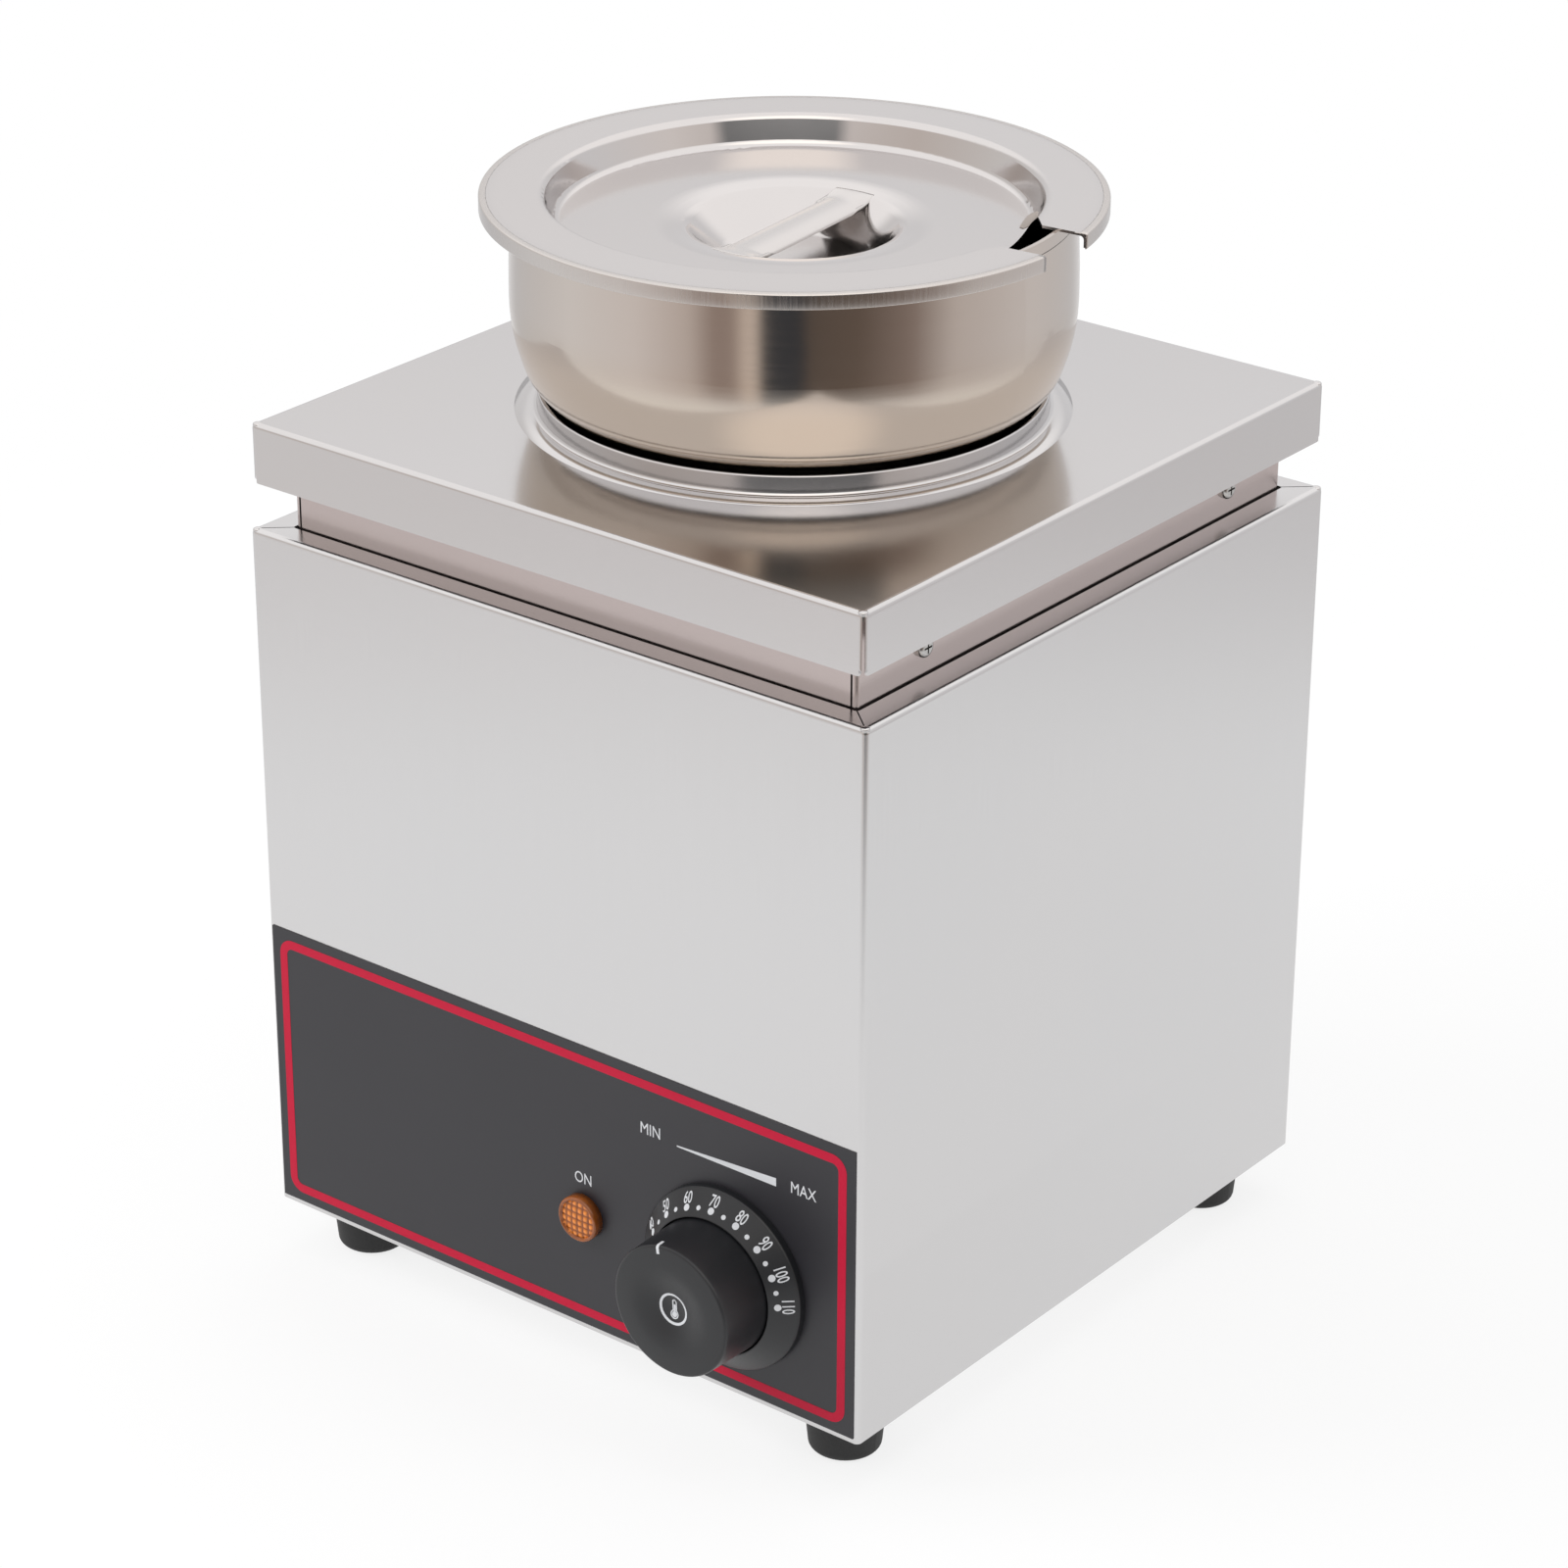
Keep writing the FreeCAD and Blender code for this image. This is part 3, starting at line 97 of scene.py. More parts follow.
def axisDistance(tree, place):
    # distance from the upright axis through the pot's middle, in metres
    flat = addNode(tree, "ShaderNodeVectorMath", {"operation": "MULTIPLY"}, {0: place, 1: (1.0, 1.0, 0.0)})
    length = addNode(tree, "ShaderNodeVectorMath", {"operation": "LENGTH"}, {0: flat.outputs[0]})
    return length.outputs["Value"]


def cloudTint(tree, place, look, first, second):
    # wide soft clouds between two colours that lie close together
    cloud = addNode(tree, "ShaderNodeTexNoise", {}, {
        "Vector": place, "Scale": look["cloudScale"], "Detail": 2.0})
    tint = addNode(tree, "ShaderNodeMix", {"data_type": "RGBA"}, {
        0: cloud.outputs["Fac"], 6: linear(look[first]), 7: linear(look[second])})
    return tint.outputs[2]


# depth of scratches, spun marks and grain before a finish takes its share of it
bumpDepth = 0.2 * mm


# metals

def brushedSteel(name, look):
    # rolled metal rubbed with a belt: fine straight scratches, soft stretched highlights, clouds in its tint,
    # and a painted reflection: a second tint over a band of heights
    material, tree, place = startMaterial(name)
    turned = addNode(tree, "ShaderNodeMapping", {}, {"Vector": place, "Scale": look["stretch"]})
    scratch = addNode(tree, "ShaderNodeTexNoise", {}, {
        "Vector": turned.outputs[0], "Scale": look["scratchScale"], "Detail": 3.0, "Roughness": 0.6})
    clouds = cloudTint(tree, place, look, "cool", "warm")
    # painted reflection: between the band's limits the colour turns to the second tint
    height = addNode(tree, "ShaderNodeSeparateXYZ", {}, {0: place}).outputs["Z"]
    low = addNode(tree, "ShaderNodeMapRange", {"interpolation_type": "SMOOTHSTEP"}, {
        "Value": height, "From Min": look["lowStart"], "From Max": look["lowEnd"]})
    gone = addNode(tree, "ShaderNodeMapRange", {"interpolation_type": "SMOOTHSTEP"}, {
        "Value": height, "From Min": look["lowGone"], "From Max": look["lowStay"]})
    band = addNode(tree, "ShaderNodeMath", {"operation": "MULTIPLY"}, {0: low.outputs[0], 1: gone.outputs[0]})
    tint = addNode(tree, "ShaderNodeMix", {"data_type": "RGBA"}, {
        0: band.outputs[0], 6: clouds, 7: linear(look["paintedReflectionTint"])})
    spread = addNode(tree, "ShaderNodeMapRange", {}, {
        "Value": scratch.outputs["Fac"], "From Min": look["scratchLow"], "From Max": look["scratchHigh"],
        "To Min": look["roughness"] - look["roughSpread"], "To Max": look["roughness"] + look["roughSpread"]})
    bump = addNode(tree, "ShaderNodeBump", {}, {
        "Strength": look["bump"], "Distance": bumpDepth, "Height": scratch.outputs["Fac"]})
    shader = addNode(tree, "ShaderNodeBsdfPrincipled", {}, {
        "Base Color": tint.outputs[2], "Metallic": look["metallic"], "Roughness": spread.outputs[0],
        "Normal": bump.outputs[0]})
    return endMaterial(material, tree, shader)


# belt scratches are about 0.05 mm apart on the real sheet; drawn at about 1 mm so that they show;
# the second tint is a painted reflection; it fills a band of heights in metres, which lies under the floor
# where a finish has none
sheetLook = {"stretch": (1.0, 1.0, 0.03), "scratchScale": 900.0, "scratchLow": 0.3, "scratchHigh": 0.7,
             "cloudScale": 6.0, "cool": "#d1d1d2", "warm": "#d4d2d2", "roughness": 0.22, "roughSpread": 0.015,
             "bump": 0.003, "metallic": 1.0,
             "lowStart": -0.1, "lowEnd": -0.2, "lowStay": -0.3, "lowGone": -0.4, "paintedReflectionTint": "#cfcfd0"}
plateLook = dict(sheetLook, stretch=(0.03, 1.0, 1.0), roughness=0.14, bump=0.002,
                 cool="#cdcccd", warm="#d0cdcc")
# on the pot the band is painted reflection: the lower belly is tinted warm beige for the warm tones it
# reflects
potLook = dict(sheetLook, stretch=(0.05, 0.05, 1.0), roughness=0.15, bump=0.006,
               cool="#cbc4be", warm="#d0c6be",
               lowStart=0.384, lowEnd=0.36, lowStay=0.342, lowGone=0.33, paintedReflectionTint="#cbbfb2")
# the neck's darker pinkish-brown tint is painted shade and reflection, for the brown-grey the neck shows in
# its gap under the plate
neckShadeAndReflectionLook = dict(sheetLook, cool="#c0b5b3", warm="#c4b9b6")
rimLook = dict(sheetLook, scratchScale=1400.0, roughness=0.24, roughSpread=0.06, bump=0.03,
               cool="#cbc7c4", warm="#cfc9c5")
# the notch tab's dark grey-beige, nearly unmetallic colour is painted shade and reflection, standing in for
# the tone the steel leaf shows in the notch
tabShadeAndReflectionLook = dict(sheetLook, stretch=(1.0, 1.0, 1.0), roughness=0.4, metallic=0.15,
                cool="#a79e98", warm="#ada49d")
strapLook = dict(sheetLook, stretch=(1.0, 0.03, 1.0), roughness=0.17, bump=0.001, metallic=0.65,
                 cool="#cfcccb", warm="#d2cdca")
boltLook = dict(sheetLook, stretch=(1.0, 1.0, 1.0), roughness=0.22, cool="#bcbcbc", warm="#c2c0bd")
coilLook = dict(sheetLook, stretch=(1.0, 1.0, 1.0), roughness=0.45, cool="#6d6b6b", warm="#776f66")
alloyLook = dict(sheetLook, stretch=(0.05, 1.0, 1.0), roughness=0.35, cool="#d5d6d8", warm="#d8d7d4")
brassLook = dict(sheetLook, stretch=(1.0, 1.0, 0.1), roughness=0.30, cool="#d3ab5b", warm="#c79a48")


# radii in metres with the roughness there, from the middle out: the bowl's satin floor and polished wall,
# the smooth ring round it, the polished step, the satin rim and the smoother edge
lidLook = {"reach": 0.12, "cool": "#cfcdcd", "warm": "#d3cecc", "cloudScale": 5.0, "scratchScale": 700.0,
           "bump": 0.008,
           "zones": [(0.0, 0.2), (0.028, 0.16), (0.040, 0.08), (0.045, 0.08), (0.049, 0.13), (0.081, 0.13),
                     (0.0838, 0.07), (0.087, 0.09), (0.0885, 0.24), (0.104, 0.24), (0.107, 0.17),
                     (0.12, 0.17)]}


def polishedLid(name, look):
    # deep-drawn stainless lid: satin rim, mirror-like drawn walls, spun marks round its axis
    material, tree, place = startMaterial(name)
    radius = axisDistance(tree, place)
    share = addNode(tree, "ShaderNodeMath", {"operation": "DIVIDE"}, {0: radius, 1: look["reach"]})
    ramp = addNode(tree, "ShaderNodeValToRGB", {}, {"Fac": share.outputs[0]})
    rough = setStops(ramp, [(r / look["reach"], (v, v, v, 1.0)) for r, v in look["zones"]])
    rings = addNode(tree, "ShaderNodeTexNoise", {"noise_dimensions": "1D"}, {
        "W": radius, "Scale": look["scratchScale"], "Detail": 2.0})
    bump = addNode(tree, "ShaderNodeBump", {}, {
        "Strength": look["bump"], "Distance": bumpDepth, "Height": rings.outputs["Fac"]})
    shader = addNode(tree, "ShaderNodeBsdfPrincipled", {}, {
        "Base Color": cloudTint(tree, place, look, "cool", "warm"), "Metallic": 1.0,
        "Roughness": rough, "Normal": bump.outputs[0]})
    return endMaterial(material, tree, shader)


# plastics, rubber, wool

def mouldedPlastic(name, look):
    # moulded or cast surface: fine spark-eroded grain in bump and roughness, slight cloud in its colour
    material, tree, place = startMaterial(name)
    grain = addNode(tree, "ShaderNodeTexNoise", {}, {
        "Vector": place, "Scale": look["grainScale"], "Detail": 2.0})
    spread = addNode(tree, "ShaderNodeMapRange", {}, {
        "Value": grain.outputs["Fac"], "To Min": look["roughness"] - look["roughSpread"],
        "To Max": look["roughness"] + look["roughSpread"]})
    bump = addNode(tree, "ShaderNodeBump", {}, {
        "Strength": look["bump"], "Distance": bumpDepth, "Height": grain.outputs["Fac"]})
    shader = addNode(tree, "ShaderNodeBsdfPrincipled", {}, {
        "Base Color": cloudTint(tree, place, look, "dark", "light"), "Roughness": spread.outputs[0],
        "IOR": look["ior"], "Normal": bump.outputs[0]})
    return endMaterial(material, tree, shader)


knobLook = {"grainScale": 1500.0, "cloudScale": 20.0, "dark": "#1a1b1e", "light": "#1f2023",
            "roughness": 0.38, "roughSpread": 0.06, "bump": 0.05, "ior": 1.5}
filmLook = dict(knobLook, dark="#27262b", light="#2b2a2f", roughness=0.42, grainScale=2500.0)
rubberLook = dict(knobLook, dark="#1c1c1d", light="#242424", roughness=0.65, bump=0.2)
paleLook = dict(knobLook, dark="#ded9cc", light="#e6e2d8", roughness=0.5)
woolLook = dict(knobLook, dark="#c9bd93", light="#ddd3ad", roughness=0.9, grainScale=400.0, bump=0.8)
sleeveLook = dict(knobLook, dark="#9c3a2c", light="#a84634", roughness=0.5)
redInkLook = dict(knobLook, ior=1.3, dark="#c20f36", light="#c8153b", roughness=0.5, grainScale=2500.0)
paleInkLook = dict(knobLook, dark="#d6d8dc", light="#e2e3e6", roughness=0.55, grainScale=2500.0)


# bright is the painted glow at the pips' tips, deep the painted shade in the grooves
lensLook = {"deep": "#5c2006", "bright": "#f59034", "roughness": 0.16, "ior": 1.58, "grainScale": 500.0,
            "grainShare": 0.25}


def amberLens(name, look):
    # moulded amber polycarbonate, clear and deep; painted light and shade: bright orange at the tips of its
    # grid, deep brown in the grooves
    material, tree, place = startMaterial(name)
    paintedTipGlow = addNode(tree, "ShaderNodeAttribute", {"attribute_name": "paintedTipGlow"})
    grain = addNode(tree, "ShaderNodeTexNoise", {}, {
        "Vector": place, "Scale": look["grainScale"], "Detail": 2.0})
    blend = addNode(tree, "ShaderNodeMath", {"operation": "MULTIPLY_ADD", "use_clamp": True}, {
        0: grain.outputs["Fac"], 1: look["grainShare"], 2: paintedTipGlow.outputs["Fac"]})
    tint = addNode(tree, "ShaderNodeMix", {"data_type": "RGBA"}, {
        0: blend.outputs[0], 6: linear(look["deep"]), 7: linear(look["bright"])})
    shader = addNode(tree, "ShaderNodeBsdfPrincipled", {}, {
        "Base Color": tint.outputs[2], "Roughness": look["roughness"], "IOR": look["ior"]})
    return endMaterial(material, tree, shader)


finishes = {
    "stainless": brushedSteel("brushedStainlessSheet", sheetLook),
    "plate": brushedSteel("brushedStainlessPlate", plateLook),
    "pot": brushedSteel("spunStainlessPot", potLook),
    "lid": polishedLid("drawnStainlessLid", lidLook),
    "strap": brushedSteel("brushedStainlessStrap", strapLook),
    "neck": brushedSteel("foldedStainlessNeckShadeAndReflection", neckShadeAndReflectionLook),
    "rim": brushedSteel("brushedStainlessRim", rimLook),
    "tabShadeAndReflection": brushedSteel("stainlessTabPaintedShadeAndReflection", tabShadeAndReflectionLook),
    "bolt": brushedSteel("nickelPlatedBolt", boltLook),
    "coil": brushedSteel("oxidisedHeaterSteel", coilLook),
    "alloy": brushedSteel("milledAluminium", alloyLook),
    "brass": brushedSteel("drawnBrass", brassLook),
    "knob": mouldedPlastic("mouldedBlackPhenolic", knobLook),
    "film": mouldedPlastic("printedPolyesterFilm", filmLook),
    "rubber": mouldedPlastic("mouldedBlackRubber", rubberLook),
    "pale": mouldedPlastic("mouldedPalePolyamide", paleLook),
    "wool": mouldedPlastic("mineralWool", woolLook),
    "sleeve": mouldedPlastic("siliconeWireSleeve", sleeveLook),
    "lens": amberLens("amberPolycarbonate", lensLook),
    "redInk": mouldedPlastic("redScreenInk", redInkLook),
    "paleInk": mouldedPlastic("paleScreenInk", paleInkLook),
}

nodeFinish = {
    "stainless": ["outer_casing", "rear_panel", "base_plate", "water_tank", "trivet", "neck_brackets"],
    "plate": ["top_plate"],
    "neck": ["neck_frame"],
    "pot": ["pot"],
    "lid": ["lid", "lid_handle"],
    "bolt": ["foot_washers", "foot_screws", "foot_nuts", "neck_studs", "neck_nuts", "neck_screws",
             "bracket_nuts", "clamp_stud", "clamp_nut", "cutout_screws", "thermostat_screws",
             "thermostat_spindle", "knob_clip", "lamp_clip", "terminal_screws", "block_screws",
             "rear_screws", "base_screws", "bulb_clips", "element_clamp"],
    "coil": ["heating_element"],
    "alloy": ["heat_spreader", "thermostat_body", "thermal_cutout"],
    "brass": ["element_pins", "sensing_bulb", "capillary_tube", "earth_stud", "earth_nuts"],
    "knob": ["dial_bezel", "control_knob", "cable_gland", "gland_dome", "gland_locknut", "lamp_body"],
    "film": ["control_panel"],
    "rubber": ["feet", "neck_seal"],
    "pale": ["terminal_block"],
    "wool": ["insulation_wrap"],
    "sleeve": ["internal_wires"],
    "lens": ["lamp_lens"],
}
for finish, names in nodeFinish.items():
    for name in names:
        nodes[name].data.materials.clear()
        nodes[name].data.materials.append(finishes[finish])
left = set(nodes) - {name for names in nodeFinish.values() for name in names}
print("finishes set, nodes without one:", sorted(left))


# surfaces from grids; corners nearer than the first length are one, edges under the second are none

sameCorner = 1e-3 * mm
noEdge = 1e-4 * mm


def gridFaces(rows, columns, start, around):
    # four corners for each cell of a grid; the columns close on themselves where the shape goes round
    i = np.arange(rows - 1)[:, None]
    j = np.arange(columns if around else columns - 1)[None, :]
    k = (j + 1) % columns
    faces = np.stack([i * columns + j, i * columns + k, (i + 1) * columns + k, (i + 1) * columns + j], -1)
    return faces.reshape(-1, 4) + start


def makePiece(name, grids, finish, body, around=False, smooth=True):
    # joins the grids into one mesh at the origin, merges its poles and turns its faces outwards
    points = np.concatenate([g.reshape(-1, 3) for g in grids])
    starts = np.cumsum([0] + [g.shape[0] * g.shape[1] for g in grids])
    faces = np.concatenate([gridFaces(g.shape[0], g.shape[1], s, around) for g, s in zip(grids, starts)])
    mesh = bpy.data.meshes.new(name)
    mesh.from_pydata(points, [], faces.tolist())
    tidyMesh(mesh)
    return finishPiece(name, mesh, finish, body, smooth)


def tidyMesh(mesh):
    # one corner where several meet, no faces without area, all faces outwards
    work = bmesh.new()
    work.from_mesh(mesh)
    bmesh.ops.remove_doubles(work, verts=work.verts, dist=sameCorner)
    bmesh.ops.dissolve_degenerate(work, edges=work.edges, dist=noEdge)
    bmesh.ops.recalc_face_normals(work, faces=work.faces)
    work.to_mesh(mesh)
    work.free()


def finishPiece(name, mesh, finish, body, smooth=True):
    # gives a mesh its finish and puts it in the scene, on its body and in its slot
    mesh.polygons.foreach_set("use_smooth", np.full(len(mesh.polygons), smooth))
    mesh.materials.append(finishes[finish])
    piece = bpy.data.objects.new(name, mesh)
    bpy.context.scene.collection.objects.link(piece)
    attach(piece, body)
    return piece


def spun(profile, steps):
    # a profile of radius and height carried round the upright axis
    angle = np.linspace(0, 2 * np.pi, steps, endpoint=False)
    r, h = profile[:, 0][:, None], profile[:, 1][:, None]
    return np.stack([r * np.cos(angle), r * np.sin(angle), h + 0 * angle], -1)


def endCaps(bar):
    # the first and the last section of a four-sided bar, each as a face of its own
    return [np.stack([section[[0, 1]], section[[3, 2]]]) for section in (bar[0], bar[-1])]


def toFront(points, centre):
    # local X stays, local Y goes up and local Z comes out of the front
    x, y, z = points[..., 0], points[..., 1], points[..., 2]
    return np.stack([centre[0] + x, centre[1] - z, centre[2] + y], -1)


# places on the front

panelLow, panelHigh = (np.array(corner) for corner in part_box("control_panel"))
bezelLow, bezelHigh = (np.array(corner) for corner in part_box("dial_bezel"))
knobLow, knobHigh = (np.array(corner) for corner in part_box("control_knob"))
lensLow, lensHigh = (np.array(corner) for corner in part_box("lamp_lens"))
dialCentre = (bezelLow + bezelHigh) / 2
lampCentre = (lensLow + lensHigh) / 2


# red line round the panel

borderLook = {"inset": 5.4 * mm, "width": 3.5 * mm, "corner": 4.5 * mm, "thick": 0.08 * mm, "arcSteps": 12}


def panelBorder(p):
    # a flat strip carried round a rectangle whose corners are quarter circles
    half = (panelHigh - panelLow)[[0, 2]] / 2 - p["inset"] - p["corner"]
    middle = (panelHigh + panelLow) / 2
    signs = np.array([(1, 1), (-1, 1), (-1, -1), (1, -1)])
    turn = np.linspace(0, np.pi / 2, p["arcSteps"])
    angle = (turn[None, :] + np.arange(4)[:, None] * np.pi / 2).ravel()
    hub = np.repeat(signs * half, p["arcSteps"], 0)
    across = p["width"] / 2
    section = np.array([(-across, 0), (-across, p["thick"]), (across, p["thick"]), (across, 0), (-across, 0)])
    radius = p["corner"] + section[:, 0][:, None]
    x = hub[:, 0] + radius * np.cos(angle)
    y = hub[:, 1] + radius * np.sin(angle)
    z = section[:, 1][:, None] + 0 * angle
    face = (middle[0], panelLow[1], middle[2])
    strip = toFront(np.stack([x, y, z], -1), face)
    makePiece("panelBorder", [strip], "redInk", "cabinet", around=True, smooth=False)


panelBorder(borderLook)


# printed figures, dots and words

printLook = {"thick": 0.08 * mm, "resolution": 4, "bold": 0.0}


def wordMesh(words, height, squeeze, p):
    # a line of text as a flat mesh, its capitals as high as asked, its middle at the origin;
    # half a unit of depth each way makes it one unit thick before it is scaled
    curve = bpy.data.curves.new("words", "FONT")
    curve.body = words
    curve.align_x = "CENTER"
    curve.resolution_u = p["resolution"]
    curve.extrude = 0.5
    curve.offset = p["bold"]
    holder = bpy.data.objects.new("words", curve)
    bpy.context.scene.collection.objects.link(holder)
    mesh = bpy.data.meshes.new_from_object(holder.evaluated_get(bpy.context.evaluated_depsgraph_get()))
    bpy.data.objects.remove(holder)
    bpy.data.curves.remove(curve)
    points = np.empty(len(mesh.vertices) * 3)
    mesh.vertices.foreach_get("co", points)
    points = points.reshape(-1, 3)
    low, high = points.min(0), points.max(0)
    scale = height / (high[1] - low[1])
    points = (points - (low + high) / 2) * [scale * squeeze, scale, p["thick"]] + [0, 0, p["thick"] / 2]
    faces = [tuple(face.vertices) for face in mesh.polygons]
    bpy.data.meshes.remove(mesh)
    return points, faces


def joinWords(name, parts, finish, body):
    # several placed words as one piece
    points, faces, start = [], [], 0
    for some, cells in parts:
        points.append(some)
        faces += [tuple(k + start for k in cell) for cell in cells]
        start += len(some)
    mesh = bpy.data.meshes.new(name)
    mesh.from_pydata(np.concatenate(points), [], faces)
    tidyMesh(mesh)
    finishPiece(name, mesh, finish, body, smooth=False)


ringShape = {"outer": 34.55 * mm, "outerLevel": 3.24 * mm, "inner": 26.6 * mm, "slope": 0.8, "edge": 0.5 * mm,
             "wall": 26.0 * mm, "sink": 0.5 * mm, "crease": 0.05 * mm, "edgeSteps": 9, "steps": 180}
dialLook = {"first": 40, "last": 110, "step": 10, "degreesPerUnit": 2.21, "degreesAtZero": -155.9,
            "figureRadius": 31.9 * mm, "figureHeight": 4.5 * mm, "squeeze": 0.65, "bold": 0.009,
            "dotRadius": 29.0 * mm, "bigDot": 1.3 * mm, "smallDot": 0.9 * mm, "dotSteps": 20,
            "sink": 0.02 * mm}
dialFace = (dialCentre[0], panelLow[1], dialCentre[2])


def ringLevel(r):
    # height of the sloping dial ring above the panel at a radius
    return ringShape["outerLevel"] + ringShape["slope"] * (ringShape["outer"] - r)


def dialRing(p):
    # a cone from the bezel's round edge up to the knob, with a rounded inner edge and an upright inner wall;
    # a crease near each end of the cone keeps its shading even
    b = math.atan(p["slope"])
    a = np.linspace(np.pi / 2 - b, np.pi, p["edgeSteps"])
    hub = np.array([p["inner"], ringLevel(p["inner"])]) - p["edge"] * np.array([math.sin(b), math.cos(b)])
    lip = hub + p["edge"] * np.stack([np.cos(a), np.sin(a)], 1)
    lip[:, 0] = np.maximum(lip[:, 0], p["wall"])
    floor = bezelHigh[1] - bezelLow[1] - p["sink"]
    r = np.array([p["outer"], p["outer"] - p["crease"], p["inner"] + p["crease"]])
    cone = np.stack([r, ringLevel(r)], 1)
    ring = np.concatenate([cone, lip, [(p["wall"], floor), (p["outer"] - p["sink"], floor)]])
    ring = np.concatenate([ring, ring[:1]])
    grid = toFront(spun(ring, p["steps"]), dialFace)
    makePiece("dialRing", [grid], "knob", "cabinet", around=True)


def onRing(points, radius, angle, sink):
    # wraps flat print onto the cone: local Y runs down its slope and local X round it;
    # the angle counts from the top
    b = math.atan(ringShape["slope"])
    lift = points[..., 2] - sink
    r = radius + points[..., 1] * math.cos(b) + lift * math.sin(b)
    h = ringLevel(radius) - points[..., 1] * math.sin(b) + lift * math.cos(b)
    a = angle + points[..., 0] / r
    return toFront(np.stack([r * np.sin(a), r * np.cos(a), h], -1), dialFace)


def dialAngle(value, p):
    # where a value of the scale stands, clockwise from the top
    return math.radians(value * p["degreesPerUnit"] + p["degreesAtZero"])


def dialPrint(p):
    # figures stand with their tops outwards; a large dot belongs to each and a small one lies between
    words = []
    for value in range(p["first"], p["last"] + 1, p["step"]):
        points, cells = wordMesh(str(value), p["figureHeight"], p["squeeze"], dict(printLook, bold=p["bold"]))
        words.append((onRing(points, p["figureRadius"], dialAngle(value, p), p["sink"]), cells))
    joinWords("dialFigures", words, "paleInk", "cabinet")
    thick = printLook["thick"]
    dots = []
    for value in range(p["first"], p["last"] + 1, p["step"] // 2):
        size = p["smallDot"] if value % p["step"] else p["bigDot"]
        dot = spun(np.array([(0, 0), (size, 0), (size, thick), (0, thick)]), p["dotSteps"])
        dots.append(onRing(dot, p["dotRadius"], dialAngle(value, p), p["sink"]))
    makePiece("dialDots", dots, "paleInk", "cabinet", around=True, smooth=False)


dialRing(ringShape)
dialPrint(dialLook)


wordsLook = {"height": 4.4 * mm, "squeeze": 0.82, "lampRise": 15.3 * mm, "dialRise": 45.8 * mm,
             "reach": 34.0 * mm, "wedgeStart": -22.0 * mm, "wedgeEnd": 22.0 * mm, "wedgeThin": 0.5 * mm,
             "wedgeTall": 3.2 * mm}


def panelWords(p):
    # ON above the lamp; MIN, a rising wedge and MAX above the dial
    face = (0.0, panelLow[1], dialCentre[2])
    places = [("ON", lampCentre[0], p["lampRise"]), ("MIN", dialCentre[0] - p["reach"], p["dialRise"]),
              ("MAX", dialCentre[0] + p["reach"], p["dialRise"])]
    parts = []
    for words, x, y in places:
        points, cells = wordMesh(words, p["height"], p["squeeze"], printLook)
        parts.append((toFront(points + [x, y, 0], face), cells))
    joinWords("panelWords", parts, "paleInk", "cabinet")
    # the wedge is a strip whose height grows evenly along it
    along = np.linspace(0, 1, 2)[:, None]
    tall = p["wedgeThin"] + (p["wedgeTall"] - p["wedgeThin"]) * along
    ring = np.array([(0, 0), (0, 1), (1, 1), (1, 0)])
    x = p["wedgeStart"] + (p["wedgeEnd"] - p["wedgeStart"]) * along + 0 * ring[:, 0]
    y = -p["height"] / 2 + tall * ring[:, 1]
    z = printLook["thick"] * ring[:, 0] + 0 * along
    sides = np.stack([x, y, z], -1)
    place = [dialCentre[0], p["dialRise"], 0]
    bar = [np.concatenate([sides, sides[:, :1]], 1)] + endCaps(sides)
    grids = [toFront(g + place, face) for g in bar]
    makePiece("heatWedge", grids, "paleInk", "cabinet", smooth=False)


panelWords(wordsLook)
print("panel printed")


# knob

knobShape = {"baseRadius": 25.6 * mm, "faceRadius": 24.9 * mm, "edge": 1.1 * mm, "crown": 0.35 * mm,
             "dishRadius": 17.0 * mm, "dishDepth": 3.4 * mm, "sideSteps": 12, "edgeSteps": 8, "faceSteps": 40,
             "steps": 128, "pointerAngle": -12.4, "pointerWidth": 1.2 * mm, "pointerThick": 0.15 * mm,
             "pointerSink": 0.1 * mm, "pointerFace": 1.9 * mm, "pointerSide": 4.2 * mm}


def knobProfile(p):
    # straight draft up the side, a quarter round at the rim, then a low crown with a cosine dish in it
    reach = knobHigh[1] - knobLow[1]
    side = np.stack([np.linspace(p["baseRadius"], p["faceRadius"], p["sideSteps"]),
                     np.linspace(0, reach - p["crown"] - p["edge"], p["sideSteps"])], 1)
    a = np.linspace(0, np.pi / 2, p["edgeSteps"])[1:]
    hub = p["faceRadius"] - p["edge"]
    rim = np.stack([hub + p["edge"] * np.cos(a), reach - p["crown"] - p["edge"] + p["edge"] * np.sin(a)], 1)
    r = np.linspace(hub, 0, p["faceSteps"])[1:]
    crown = p["crown"] * np.sin(np.clip((hub - r) / (hub - p["dishRadius"]), 0, 1) * np.pi / 2)
    dish = p["dishDepth"] * (0.5 + 0.5 * np.cos(np.pi * np.clip(r / p["dishRadius"], 0, 1)))
    face = np.stack([r, reach - p["crown"] + crown - dish], 1)
    return np.concatenate([[(0, 0)], side, rim, face])


